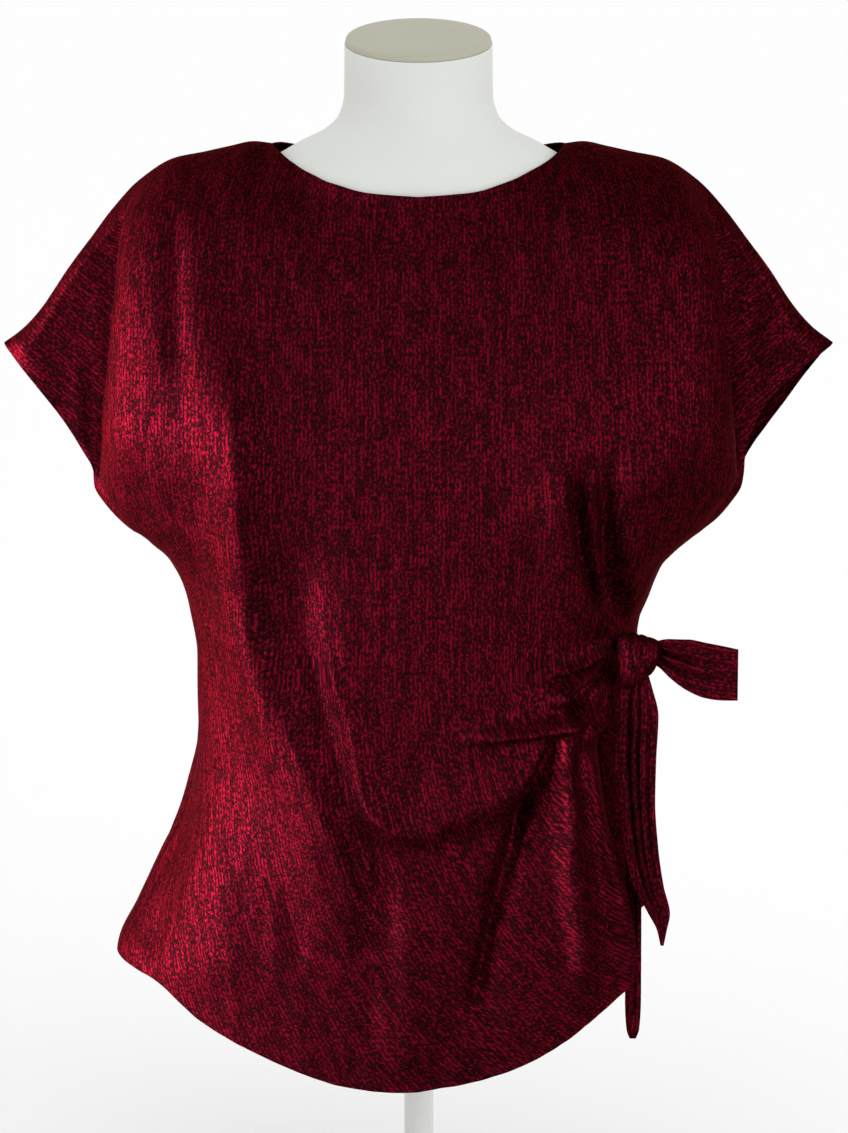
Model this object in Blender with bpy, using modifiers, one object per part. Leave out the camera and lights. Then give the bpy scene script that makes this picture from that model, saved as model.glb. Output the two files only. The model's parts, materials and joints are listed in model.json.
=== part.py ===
"""Tie waist top worn on a limbless dress form with its stand.

Run with: blender --background --python part.py
Metres, +Z up, the front of the garment faces -Y. The stand rests on z = 0.
Each panel is a grid of points worked out from the tables below: an outline in x and z,
a depth for each height, and a row for each fold. A shell of cloth is built inwards from it.
"""

import math

import bmesh
import bpy
import numpy as np
from mathutils import Vector
from mathutils.bvhtree import BVHTree

COLLECTION = "tie_waist_top"

# Cloth and seams
CLOTH = 0.0016
SEAM_GAP = 0.0003
FORM_CLEARANCE = 0.0026
SECTION_POWER = 2.3
SEAM_FADE = 0.022

# Grid of each panel: columns in a sleeve, columns in the body, rows above and below the underarm
FRONT_GRID = (5, 30, 10, 28)
BACK_GRID = (5, 18, 8, 19)
SIDE_TURN = math.radians(28.0)

# Dress form and stand
NECK_TILT = 0.209
NECK_TOP = 0.8925
NECK_CAP = 0.004
FORM_BOTTOM = 0.262
FORM_COLUMNS = 30
POLE_RADIUS = 0.011
BASE_RADIUS = 0.140
BASE_THICKNESS = 0.012
BASE_BEVEL = 0.003

# Ties
TIE_THICKNESS = 0.0030
TIE_COLUMNS = 9
TAIL_ROWS = 15
KNOT_CENTRE = (0.1565, -0.0865, 0.4505)
KNOT_SIZE = (0.0165, 0.0125, 0.0250)
KNOT_LEAN = math.radians(14.0)


def table(columns, rows):
    """Named columns, each an array with one value for each row."""
    return dict(zip(columns.split(), np.array(rows, float).T))


FORM = table(
    "z half_width front back",
    [
        (0.262, 0.1540, 0.1000, 0.1040),
        (0.300, 0.1560, 0.1020, 0.1080),
        (0.340, 0.1530, 0.1000, 0.1060),
        (0.390, 0.1380, 0.0930, 0.0880),
        (0.430, 0.1180, 0.0880, 0.0720),
        (0.470, 0.1140, 0.0890, 0.0700),
        (0.520, 0.1220, 0.0980, 0.0760),
        (0.570, 0.1380, 0.1160, 0.0880),
        (0.610, 0.1490, 0.1220, 0.0940),
        (0.650, 0.1600, 0.1160, 0.0960),
        (0.690, 0.1720, 0.1040, 0.0940),
        (0.725, 0.1770, 0.0930, 0.0890),
        (0.750, 0.1740, 0.0850, 0.0830),
        (0.770, 0.1640, 0.0790, 0.0770),
        (0.785, 0.1490, 0.0735, 0.0720),
        (0.797, 0.1310, 0.0690, 0.0680),
        (0.807, 0.1120, 0.0655, 0.0650),
        (0.8156, 0.0965, 0.0620, 0.0620),
        (0.822, 0.0855, 0.0595, 0.0600),
        (0.830, 0.0690, 0.0570, 0.0580),
        (0.840, 0.0585, 0.0545, 0.0560),
        (0.855, 0.0543, 0.0525, 0.0545),
        (0.892, 0.0538, 0.0520, 0.0545),
    ],
)

# How square the form's section is: 2 is an ellipse
SECTION = table("z power", [(0.262, 2.2), (0.700, 2.3), (0.790, 2.2), (0.830, 2.0), (0.900, 2.0)])

# Depth of the cloth before and behind the centre line
DEPTH = table(
    "z front back",
    [
        (0.120, 0.1180, 0.1240),
        (0.200, 0.1215, 0.1240),
        (0.300, 0.1260, 0.1220),
        (0.400, 0.1270, 0.1120),
        (0.500, 0.1310, 0.1020),
        (0.610, 0.1370, 0.1050),
        (0.650, 0.1300, 0.1050),
        (0.720, 0.1060, 0.0990),
        (0.790, 0.0755, 0.0760),
        (0.830, 0.0560, 0.0580),
    ],
)

# Half width of the cloth below the underarm. The front hangs free of the right side below the knot.
LEFT_SIDE = table(
    "z half_width",
    [
        (0.120, 0.2300),
        (0.214, 0.2280),
        (0.248, 0.2130),
        (0.279, 0.1970),
        (0.310, 0.1800),
        (0.338, 0.1710),
        (0.372, 0.1650),
        (0.441, 0.1650),
        (0.476, 0.1700),
        (0.499, 0.1765),
        (0.515, 0.1860),
        (0.532, 0.2050),
        (0.544, 0.2215),
        (0.555, 0.2330),
        (0.570, 0.2405),
        (0.582, 0.2410),
    ],
)
RIGHT_SIDE_BACK = table(
    "z half_width",
    [
        (0.120, 0.1740),
        (0.250, 0.1730),
        (0.360, 0.1660),
        (0.420, 0.1625),
        (0.452, 0.1600),
        (0.470, 0.1640),
        (0.487, 0.1690),
        (0.508, 0.1785),
        (0.519, 0.1870),
        (0.532, 0.2040),
        (0.544, 0.2200),
        (0.555, 0.2310),
        (0.570, 0.2400),
        (0.582, 0.2420),
    ],
)
RIGHT_SIDE_FRONT = table(
    "z half_width",
    [
        (0.120, 0.2080),
        (0.209, 0.2050),
        (0.300, 0.1900),
        (0.400, 0.1740),
        (0.455, 0.1625),
        (0.470, 0.1640),
        (0.487, 0.1690),
        (0.508, 0.1785),
        (0.519, 0.1870),
        (0.532, 0.2040),
        (0.544, 0.2200),
        (0.555, 0.2310),
        (0.570, 0.2400),
        (0.582, 0.2420),
    ],
)

# Where the right edge of each panel lies: the seam down to the knot, then a free edge
RIGHT_EDGE_FRONT = table(
    "z share",
    [
        (0.209, 0.795),
        (0.311, 0.780),
        (0.385, 0.755),
        (0.416, 0.800),
        (0.437, 0.880),
        (0.456, 1.000),
    ],
)
RIGHT_EDGE_BACK = table(
    "z turn",
    [(0.250, 44.0), (0.300, 50.0), (0.430, 50.0), (0.441, 43.0), (0.458, 0.0)],
)

# Top seam from the sleeve tip to the neck, and the neckline from its corner to its centre
TOP_SEAM = table(
    "x z",
    [
        (0.107, 0.8200),
        (0.120, 0.8215),
        (0.138, 0.8180),
        (0.156, 0.8140),
        (0.178, 0.8095),
        (0.204, 0.7935),
        (0.226, 0.7700),
        (0.241, 0.7500),
        (0.256, 0.7305),
        (0.277, 0.6995),
        (0.290, 0.6850),
        (0.306, 0.6730),
    ],
)
FRONT_NECKLINE = table(
    "x z y",
    [
        (0.000, 0.7880, 0.0760),
        (0.036, 0.7905, 0.0725),
        (0.064, 0.7970, 0.0630),
        (0.086, 0.8060, 0.0460),
        (0.102, 0.8166, 0.0200),
        (0.107, 0.8200, 0.0000),
    ],
)
BACK_NECKLINE = table(
    "x z y",
    [
        (0.000, 0.8010, 0.0710),
        (0.036, 0.8035, 0.0680),
        (0.064, 0.8080, 0.0600),
        (0.086, 0.8140, 0.0450),
        (0.102, 0.8190, 0.0200),
        (0.107, 0.8200, 0.0000),
    ],
)

# Edge of the sleeve opening and the fold that falls from the shoulder to the underarm
CUFF = table(
    "share x z y",
    [
        (0.00, 0.3055, 0.6730, 0.0000),
        (0.30, 0.2800, 0.6415, 0.0210),
        (0.60, 0.2580, 0.6120, 0.0300),
        (0.85, 0.2450, 0.5905, 0.0190),
        (1.00, 0.2405, 0.5805, 0.0000),
    ],
)
SLEEVE_FOLD = table(
    "share x z front back",
    [
        (0.00, 0.2050, 0.7912, 0.0000, 0.0000),
        (0.14, 0.2150, 0.7600, 0.0330, 0.0320),
        (0.45, 0.2210, 0.6890, 0.0500, 0.0420),
        (0.75, 0.2285, 0.6330, 0.0500, 0.0420),
        (1.00, 0.2330, 0.5820, 0.0450, 0.0430),
    ],
)
SLEEVE_DEPTH = 0.021
SHOULDER_ROUND = 0.065
SLEEVE_ROUND = 0.022

# How far the middle of each cuff edge is moved in x and z, by panel and side
CUFF_MOVE = {
    ("front", False): (0.000, 0.0055),
    ("front", True): (-0.008, 0.0110),
    ("back", False): (0.000, 0.0000),
    ("back", True): (0.000, -0.0055),
}

# Where the columns and rows of the front crowd together: at the right side, and at the knot
COLUMN_SPREAD = table("step share", [(0.00, 0.00), (0.22, 0.25), (0.48, 0.60), (1.00, 1.00)])
ROW_SPREAD = table("step share", [(0.00, 0.00), (0.22, 0.27), (0.60, 0.54), (1.00, 1.00)])

FRONT_HEM = table(
    "x z",
    [
        (-0.228, 0.2140),
        (-0.194, 0.2055),
        (-0.162, 0.1820),
        (-0.124, 0.1630),
        (-0.087, 0.1480),
        (-0.050, 0.1375),
        (-0.014, 0.1345),
        (0.023, 0.1390),
        (0.060, 0.1475),
        (0.096, 0.1630),
        (0.118, 0.1770),
        (0.141, 0.1950),
        (0.163, 0.2110),
    ],
)
BACK_HEM = table(
    "x z",
    [
        (-0.228, 0.2140),
        (-0.190, 0.1900),
        (-0.130, 0.1590),
        (-0.060, 0.1430),
        (0.000, 0.1400),
        (0.070, 0.1530),
        (0.130, 0.1850),
        (0.172, 0.2500),
    ],
)

# Folds: a centre line of x, z points, its height, and how wide it is on its left and its right
FRONT_FOLDS = [
    ([(-0.158, 0.770), (-0.146, 0.697), (-0.127, 0.625), (-0.121, 0.560), (-0.113, 0.472),
      (-0.098, 0.409), (-0.084, 0.370), (-0.068, 0.327), (-0.055, 0.288), (-0.040, 0.245)],
     0.0130, 0.036, 0.022),
    ([(-0.093, 0.570), (-0.085, 0.474), (-0.071, 0.415), (-0.057, 0.356), (-0.039, 0.296), (-0.024, 0.236)],
     -0.0080, 0.018, 0.018),
    ([(-0.067, 0.520), (-0.060, 0.460), (-0.051, 0.415), (-0.045, 0.372), (-0.037, 0.348), (-0.020, 0.337),
      (0.010, 0.338), (0.059, 0.358), (0.100, 0.394), (0.131, 0.432)],
     0.0085, 0.016, 0.026),
    ([(-0.176, 0.770), (-0.175, 0.715), (-0.173, 0.640), (-0.170, 0.590)],
     -0.0070, 0.012, 0.012),
    ([(-0.208, 0.750), (-0.212, 0.700), (-0.213, 0.640), (-0.205, 0.585)],
     0.0040, 0.014, 0.016),
    ([(0.112, 0.640), (0.109, 0.576), (0.116, 0.531), (0.124, 0.495), (0.143, 0.466)],
     0.0075, 0.024, 0.013),
    ([(0.130, 0.620), (0.130, 0.550), (0.137, 0.500), (0.147, 0.470)],
     -0.0060, 0.013, 0.013),
    ([(0.182, 0.660), (0.168, 0.580), (0.160, 0.520), (0.155, 0.473)],
     0.0060, 0.018, 0.018),
    ([(0.152, 0.467), (0.129, 0.452), (0.114, 0.443), (0.075, 0.428)],
     0.0070, 0.008, 0.009),
    ([(0.138, 0.452), (0.119, 0.440), (0.098, 0.436), (0.062, 0.425)],
     -0.0045, 0.007, 0.007),
    ([(0.140, 0.444), (0.124, 0.438), (0.102, 0.430), (0.060, 0.412)],
     0.0060, 0.008, 0.009),
    ([(0.133, 0.424), (0.112, 0.413), (0.090, 0.407)],
     -0.0050, 0.008, 0.008),
    ([(0.136, 0.410), (0.116, 0.398), (0.085, 0.392), (0.040, 0.389)],
     0.0065, 0.009, 0.010),
    ([(0.104, 0.384), (0.078, 0.360), (0.061, 0.313), (0.051, 0.282), (0.042, 0.235), (0.032, 0.183)],
     -0.0090, 0.017, 0.018),
    ([(0.106, 0.386), (0.105, 0.345), (0.106, 0.291), (0.113, 0.252), (0.118, 0.205)],
     0.0070, 0.018, 0.016),
    ([(-0.166, 0.361), (-0.181, 0.316), (-0.196, 0.262), (-0.204, 0.215)],
     -0.0060, 0.016, 0.018),
    ([(-0.150, 0.361), (-0.150, 0.300), (-0.144, 0.200)],
     0.0065, 0.026, 0.024),
    ([(-0.005, 0.300), (-0.005, 0.220), (-0.010, 0.140)],
     0.0055, 0.026, 0.026),
]
BACK_FOLDS = [
    ([(-0.150, 0.740), (-0.135, 0.620), (-0.115, 0.480), (-0.105, 0.360)], 0.0070, 0.028, 0.028),
    ([(0.150, 0.740), (0.138, 0.620), (0.122, 0.480)], 0.0070, 0.028, 0.028),
    ([(-0.060, 0.440), (-0.062, 0.300), (-0.070, 0.160)], 0.0080, 0.026, 0.026),
    ([(0.020, 0.460), (0.018, 0.320), (0.015, 0.150)], 0.0080, 0.028, 0.028),
    ([(0.098, 0.440), (0.100, 0.320), (0.108, 0.180)], 0.0070, 0.026, 0.026),
    ([(-0.165, 0.420), (-0.172, 0.330), (-0.190, 0.220)], 0.0050, 0.022, 0.022),
]

# Tie ends: a row for each section, with the middle of its two edges, its width and its depth
SIDE_END = table(
    "x low high y sway",
    [
        (0.1740, 0.4500, 0.4660, -0.0880, 0.0030),
        (0.1830, 0.4395, 0.4690, -0.0930, 0.0045),
        (0.1950, 0.4315, 0.4690, -0.0945, 0.0040),
        (0.2080, 0.4255, 0.4665, -0.0940, 0.0020),
        (0.2210, 0.4238, 0.4635, -0.0920, -0.0010),
        (0.2320, 0.4233, 0.4605, -0.0900, -0.0020),
    ],
)
FRONT_TAIL = table(
    "z left right y pleat",
    [
        (0.4258, 0.1500, 0.1690, -0.0885, 0.0030),
        (0.4120, 0.1430, 0.1740, -0.0920, 0.0055),
        (0.3810, 0.1425, 0.1725, -0.0960, 0.0060),
        (0.3510, 0.1455, 0.1725, -0.0965, 0.0055),
        (0.3135, 0.1505, 0.1752, -0.0970, 0.0045),
        (0.2850, 0.1580, 0.1795, -0.0970, 0.0030),
        (0.2644, 0.1685, 0.1842, -0.0970, 0.0015),
        (0.2530, 0.1745, 0.1822, -0.0970, 0.0005),
        (0.2420, 0.1775, 0.1798, -0.0970, 0.0000),
    ],
)
REAR_TAIL = table(
    "z left right y pleat",
    [
        (0.4292, 0.1530, 0.1610, -0.0780, 0.0010),
        (0.4000, 0.1510, 0.1630, -0.0760, 0.0020),
        (0.3082, 0.1520, 0.1640, -0.0760, 0.0020),
        (0.2320, 0.1535, 0.1645, -0.0780, 0.0015),
        (0.1937, 0.1528, 0.1646, -0.0790, 0.0010),
        (0.1700, 0.1540, 0.1635, -0.0790, 0.0005),
        (0.1640, 0.1565, 0.1610, -0.0790, 0.0000),
    ],
)

COLOURS = {
    "front": ("crinkle_cloth_front", (0.235, 0.010, 0.022), 0.62, 0.0),
    "back": ("crinkle_cloth_back", (0.215, 0.009, 0.020), 0.62, 0.0),
    "knot": ("crinkle_cloth_knot", (0.200, 0.008, 0.018), 0.62, 0.0),
    "tie_end_side": ("crinkle_cloth_tie", (0.210, 0.009, 0.020), 0.62, 0.0),
    "tie_tail_front": ("crinkle_cloth_tail", (0.190, 0.008, 0.018), 0.62, 0.0),
    "tie_tail_rear": ("crinkle_cloth_inner_tail", (0.170, 0.007, 0.016), 0.62, 0.0),
    "dress_form": ("matte_white_plastic", (0.780, 0.790, 0.770), 0.55, 0.0),
    "form_neck_cap": ("pale_neck_cap", (0.560, 0.560, 0.460), 0.50, 0.0),
    "stand_pole": ("pale_painted_pole", (0.700, 0.700, 0.690), 0.35, 0.0),
    "stand_base": ("pale_painted_base", (0.680, 0.680, 0.670), 0.40, 0.0),
}


def smooth_step(x):
    x = np.clip(x, 0.0, 1.0)
    return x * x * (3.0 - 2.0 * x)


def follow(rows, key, name, at):
    """Smooth curve through one column of a table, with no overshoot between its rows."""
    xs, ys = rows[key], rows[name]
    at = np.clip(np.asarray(at, float), xs[0], xs[-1])
    step = np.diff(xs)
    slope = np.diff(ys) / step
    tangent = np.zeros(len(xs))
    tangent[0], tangent[-1] = slope[0], slope[-1]
    same = slope[:-1] * slope[1:] > 0
    before, after = 2 * step[1:] + step[:-1], step[1:] + 2 * step[:-1]
    with np.errstate(divide="ignore", invalid="ignore"):
        mean = (before + after) / (before / slope[:-1] + after / slope[1:])
    tangent[1:-1] = np.where(same, mean, 0.0)
    cell = np.clip(np.searchsorted(xs, at, side="right") - 1, 0, len(step) - 1)
    t = (at - xs[cell]) / step[cell]
    wide = step[cell]
    return (
        ys[cell] * (1 + 2 * t) * (1 - t) ** 2
        + wide * tangent[cell] * t * (1 - t) ** 2
        + ys[cell + 1] * t * t * (3 - 2 * t)
        + wide * tangent[cell + 1] * t * t * (t - 1)
    )


def fold_height(folds, x, z):
    """Sum of the folds: each is a smooth ridge along its line that fades out over its end."""
    total = np.zeros_like(x)
    for line, height, left, right in folds:
        points = np.array(line)
        lengths = np.hypot(*np.diff(points, axis=0).T)
        start = np.concatenate([[0.0], np.cumsum(lengths)])
        near = np.full(x.shape, 9.0)
        side = np.zeros_like(x)
        place = np.zeros_like(x)
        for i, length in enumerate(lengths):
            along = (points[i + 1] - points[i]) / length
            dx, dz = x - points[i][0], z - points[i][1]
            t = np.clip(dx * along[0] + dz * along[1], 0.0, length)
            away = np.hypot(dx - t * along[0], dz - t * along[1])
            closer = away < near
            near = np.where(closer, away, near)
            side = np.where(closer, dx * along[1] - dz * along[0], side)
            place = np.where(closer, start[i] + t, place)
        width = np.where(side > 0, left, right)
        fade = smooth_step(place / (0.35 * start[-1]))
        fade = fade * smooth_step((start[-1] - place) / (0.25 * start[-1]) + 0.25)
        total += height * fade * np.exp(-((near / width) ** 2) * 1.6)
    return total


def normals_of(points):
    """Outward unit normals of a grid whose rows run down and whose columns run towards +x."""
    down = np.gradient(points, axis=0)
    across = np.gradient(points, axis=1)
    normal = np.cross(down, across)
    return normal / np.linalg.norm(normal, axis=2, keepdims=True)


def form_points(z, angle):
    """The form's section at each height: round in plan, deeper in front than behind."""
    wide = follow(FORM, "z", "half_width", z)
    ahead = follow(FORM, "z", "front", z)
    behind = follow(FORM, "z", "back", z)
    power = 2.0 / follow(SECTION, "z", "power", z)
    across, along = np.cos(angle), np.sin(angle)
    depth = np.where(along < 0, ahead, behind)
    x = wide * np.sign(across) * np.abs(across) ** power
    y = depth * np.sign(along) * np.abs(along) ** power
    lift = NECK_TILT * y * smooth_step((z - 0.845) / 0.035)
    return np.stack([x, y, z + lift], axis=-1)


def coat(obj):
    name, colour, roughness, metallic = COLOURS[obj.name]
    material = bpy.data.materials.new(name)
    material.use_nodes = True
    shader = material.node_tree.nodes["Principled BSDF"]
    shader.inputs["Base Color"].default_value = (*colour, 1.0)
    shader.inputs["Roughness"].default_value = roughness
    shader.inputs["Metallic"].default_value = metallic
    material.diffuse_color = (*colour, 1.0)
    obj.data.materials.append(material)


def add_object(name, bm, smooth=True):
    bmesh.ops.recalc_face_normals(bm, faces=bm.faces)
    for face in bm.faces:
        face.smooth = smooth
    mesh = bpy.data.meshes.new(name)
    bm.to_mesh(mesh)
    bm.free()
    obj = bpy.data.objects.new(name, mesh)
    bpy.data.collections[COLLECTION].objects.link(obj)
    coat(obj)
    return obj


def skin(bm, grid, flip, closed=False):
    """Faces of a grid of vertices, with its last column joined to the first where it is closed."""
    rows, columns = len(grid), len(grid[0])
    for i in range(rows - 1):
        for j in range(columns if closed else columns - 1):
            k = (j + 1) % columns
            face = [grid[i][j], grid[i + 1][j], grid[i + 1][k], grid[i][k]]
            bm.faces.new(face[::-1] if flip else face)


def ring_of(grid):
    """The border of a grid, once round."""
    top = grid[0]
    bottom = grid[-1][::-1]
    right = [row[-1] for row in grid[1:-1]]
    left = [row[0] for row in grid[1:-1]][::-1]
    return top + right + bottom + left


def shell(name, outer, inner):
    """A closed wall between two grids of points, joined round their border."""
    bm = bmesh.new()
    outside = [[bm.verts.new(p) for p in row] for row in outer]
    inside = [[bm.verts.new(p) for p in row] for row in inner]
    skin(bm, outside, False)
    skin(bm, inside, True)
    border, lining = ring_of(outside), ring_of(inside)
    for i, corner in enumerate(border):
        j = (i + 1) % len(border)
        bm.faces.new([corner, border[j], lining[j], lining[i]])
    return add_object(name, bm)


def loft(name, sections):
    """A closed body through rings of points, with a flat cap at each end."""
    bm = bmesh.new()
    rings = [[bm.verts.new(p) for p in ring] for ring in sections]
    skin(bm, rings, False, closed=True)
    bm.faces.new(rings[0])
    bm.faces.new(rings[-1][::-1])
    return add_object(name, bm)


class Panel:
    """One panel of the top: its grid of points from the sleeve tips and neck down to the hem."""

    def __init__(self, grid, front):
        self.front = front
        self.name = "front" if front else "back"
        self.sign = -1.0 if front else 1.0
        self.sleeve, self.body, self.upper, self.lower = grid
        self.neckline = FRONT_NECKLINE if front else BACK_NECKLINE
        self.hem = FRONT_HEM if front else BACK_HEM
        self.folds = FRONT_FOLDS if front else BACK_FOLDS
        self.right_side = RIGHT_SIDE_FRONT if front else RIGHT_SIDE_BACK
        self.right_end_z = 0.209 if front else 0.250
        high = np.linspace(0.0, 1.0, self.upper + 1)[:-1] ** 1.3 * self.upper
        low = np.linspace(0.0, 1.0, self.lower + 1)
        if front:
            low = follow(ROW_SPREAD, "step", "share", low)
        self.v = np.append(high, self.upper + self.lower * low)[:, None]

    def depth(self, z):
        return follow(DEPTH, "z", "front" if self.front else "back", z)

    def half_width(self, z, right):
        side = self.right_side if right else LEFT_SIDE
        return follow(side, "z", "half_width", z)

    def edge_turn(self, z, right):
        """How far round the section the panel's edge lies: 0 at a side seam."""
        if not right:
            return np.zeros_like(z)
        if self.front:
            share = follow(RIGHT_EDGE_FRONT, "z", "share", z)
            return np.arccos(np.clip(share, 0.0, 1.0) ** (SECTION_POWER / 2))
        return -np.radians(follow(RIGHT_EDGE_BACK, "z", "turn", z))

    def section(self, z, turn, right):
        """A point of the section at this height and turn from the side, for the lower body."""
        power = 2.0 / SECTION_POWER
        wide = self.half_width(z, right)
        deep = np.where(turn < 0, -follow(DEPTH, "z", "front", z) * 0.80, self.depth(z))
        x = wide * np.cos(turn) ** power
        y = deep * np.abs(np.sin(turn)) ** power
        return x, self.sign * y

    def top_edge(self, x):
        """Height and depth of the top edge at x: seam outside the neck, neckline inside it."""
        away = np.abs(x)
        corner = TOP_SEAM["x"][0]
        seam = follow(TOP_SEAM, "x", "z", away)
        neck = follow(self.neckline, "x", "z", away)
        deep = follow(self.neckline, "x", "y", away)
        inside = away < corner
        return np.where(inside, neck, seam), np.where(inside, self.sign * deep, 0.0)

    def sleeve_side(self, right):
        """Grid of x, y, z from the cuff and side seam in to the fold line, for one side."""
        v = self.v
        w = np.linspace(0.0, 1.0, self.sleeve + 1)[None, :]
        high = np.clip(v / self.upper, 0.0, 1.0)
        low = np.clip((v - self.upper) / self.lower, 0.0, 1.0)
        # Sleeve: from the cuff edge across to the fold
        cuff_x = follow(CUFF, "share", "x", high)
        cuff_z = follow(CUFF, "share", "z", high)
        cuff_y = follow(CUFF, "share", "y", high)
        move_x, move_z = CUFF_MOVE[self.name, right]
        cuff_x = cuff_x + move_x * np.sin(np.pi * high)
        cuff_z = cuff_z + move_z * np.sin(np.pi * high)
        fold_x = follow(SLEEVE_FOLD, "share", "x", high)
        fold_z = follow(SLEEVE_FOLD, "share", "z", high)
        fold_y = follow(SLEEVE_FOLD, "share", "front" if self.front else "back", high)
        x = cuff_x + (fold_x - cuff_x) * w
        z = cuff_z + (fold_z - cuff_z) * w
        top_x = CUFF["x"][0] + (SLEEVE_FOLD["x"][0] - CUFF["x"][0]) * w
        straight = CUFF["z"][0] + (SLEEVE_FOLD["z"][0] - CUFF["z"][0]) * w
        top_z = follow(TOP_SEAM, "x", "z", top_x)
        z = z + (top_z - straight) * (1 - high) ** 1.5
        flat = cuff_y + (SLEEVE_DEPTH - cuff_y) * smooth_step(w * 2.5)
        round_over = np.sqrt(1 - (1 - np.clip((top_z - z) / SLEEVE_ROUND, 0, 1)) ** 2)
        flat = flat * np.where(w > 0, round_over, 1.0)
        y = np.where(w >= 1.0, fold_y, np.maximum(flat, 0.0))
        # Body: round the side from the seam or free edge to the same column
        side_z0 = CUFF["z"][-1]
        edge_z = side_z0 + ((self.right_end_z if right else 0.214) - side_z0) * low
        turn0 = self.edge_turn(edge_z, right)
        turn1 = np.maximum(turn0 + math.radians(9.0), SIDE_TURN)
        turn = turn0 + (turn1 - turn0) * w
        body_x, body_y = self.section(edge_z, turn, right)
        sign = 1.0 if right else -1.0
        hem_z = follow(self.hem, "x", "z", sign * body_x[-1:, :])
        hem_z = np.where(turn[-1:] < 0, edge_z[-1, 0], hem_z)
        body_z = edge_z + (hem_z - edge_z[-1, 0]) * low
        mix = np.where(v <= self.upper, 0.0, smooth_step((v - self.upper) / 3.0))
        below = self.half_width(edge_z, right) - self.half_width(side_z0, right)
        x = x + np.where(v > self.upper, below, 0.0)
        x = x + (body_x - x) * mix
        y = self.sign * y + (body_y - self.sign * y) * mix
        z = np.where(v <= self.upper, z, body_z + (z - CUFF["z"][-1]) * (1 - low) ** 4)
        return np.stack([sign * x, y, z], axis=-1)

    def points(self):
        """The whole outer grid, before folds."""
        left = self.sleeve_side(False)
        right = self.sleeve_side(True)[:, ::-1]
        v = self.v / self.v[-1]
        q = np.linspace(0.0, 1.0, self.body + 1)[None, :]
        if self.front:
            q = follow(COLUMN_SPREAD, "step", "share", q)
        fold_left, fold_right = left[:, -1:], right[:, :1]
        x = fold_left[..., 0] + (fold_right[..., 0] - fold_left[..., 0]) * q
        corner = TOP_SEAM["x"][0]
        near = np.argmin(np.abs(x[0][:, None] - np.array([[-corner, corner]])), axis=0)
        target = x[0].copy()
        target[near[0]], target[near[1]] = -corner, corner
        x = x + (target - x[0]) * (1 - v) ** 2
        top_z, top_y = self.top_edge(x[0])
        hem_z = follow(self.hem, "x", "z", x[-1])
        z = (1 - v) * top_z + v * hem_z
        for side, share in ((fold_left[..., 2], 1 - q), (fold_right[..., 2], q)):
            z = z + share * (side - (1 - v) * side[0] - v * side[-1])
        # Lower body: the section. Upper body: from the fold line out to the centre depth.
        wide = np.where(x > 0, self.half_width(z, True), self.half_width(z, False))
        deep = self.depth(z)
        share = np.clip(np.abs(x) / wide, 0.0, 1.0)
        lower = deep * (1 - share**SECTION_POWER) ** (1 / SECTION_POWER)
        c = 2 * q - 1
        side_y = np.abs(np.where(c < 0, fold_left[..., 1], fold_right[..., 1]))
        upper = side_y + (deep - side_y) * np.sqrt(1 - np.abs(c) ** 2.8)
        k = smooth_step((self.v - self.upper + 2) / 5.0)
        y = upper + (lower - upper) * k
        # Round over the shoulder to the top seam, and start from the neckline at the neck
        drop = np.clip((top_z - z) / SHOULDER_ROUND, 0, 1)
        round_over = np.sqrt(1 - (1 - drop) ** 2)
        y = np.abs(top_y) + (y - np.abs(top_y)) * round_over
        body = np.stack([x, self.sign * y, z], axis=-1)
        return np.concatenate([left, body[:, 1:-1], right], axis=1)

    def seam_masks(self, points):
        """Where the panel is sewn: the shoulder and sleeve seam, and the side seams."""
        rows, columns = points.shape[:2]
        sewn = np.zeros((rows, columns), bool)
        sewn[0] = np.abs(points[0, :, 0]) > TOP_SEAM["x"][0] - 1e-6
        sewn[self.upper:, 0] = True
        side = points[:, -1, 2] >= RIGHT_EDGE_BACK["z"][-1]
        sewn[self.upper:, -1] = side[self.upper:]
        return sewn

    def outward(self, points):
        normal = normals_of(points)
        return normal if np.mean(normal[..., 1] * self.sign) > 0 else -normal

    def build(self, name, form_tree):
        base = self.points()
        sewn = self.seam_masks(base)
        base[sewn, 1] = self.sign * SEAM_GAP / 2
        normal = self.outward(base)
        away = np.full(base.shape[:2], 9.0)
        for point in base[sewn]:
            away = np.minimum(away, np.linalg.norm(base - point, axis=2))
        height = fold_height(self.folds, base[..., 0], base[..., 2])
        base = base + normal * (height * smooth_step(away / SEAM_FADE))[..., None]
        base = rest_on(base, form_tree, FORM_CLEARANCE)
        base[sewn, 1] = self.sign * SEAM_GAP / 2
        normal = self.outward(base)
        normal[sewn, 1] = 0.0
        normal /= np.linalg.norm(normal, axis=2, keepdims=True)
        inner = base - CLOTH * normal
        return shell(name, base, inner)


def shortfall(points, tree, clearance):
    """For each point, the move that brings it clear of the form, and nothing where it is clear."""
    move = np.zeros_like(points)
    for index in np.ndindex(points.shape[:2]):
        point = Vector(points[index])
        place, normal, _, _ = tree.find_nearest(point)
        away = (point - place).dot(normal)
        if away < clearance and (point - place).length < 0.06:
            move[index] = normal * (clearance - away)
    return move


def longer(first, second):
    """The longer of two moves at each point."""
    shorter = np.linalg.norm(first, axis=2) < np.linalg.norm(second, axis=2)
    return np.where(shorter[..., None], second, first)


EDGES_AND_DIAGONALS = [((0, 0), (1, 0)), ((0, 0), (0, 1)), ((0, 0), (1, 1)), ((1, 0), (0, 1))]


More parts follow.
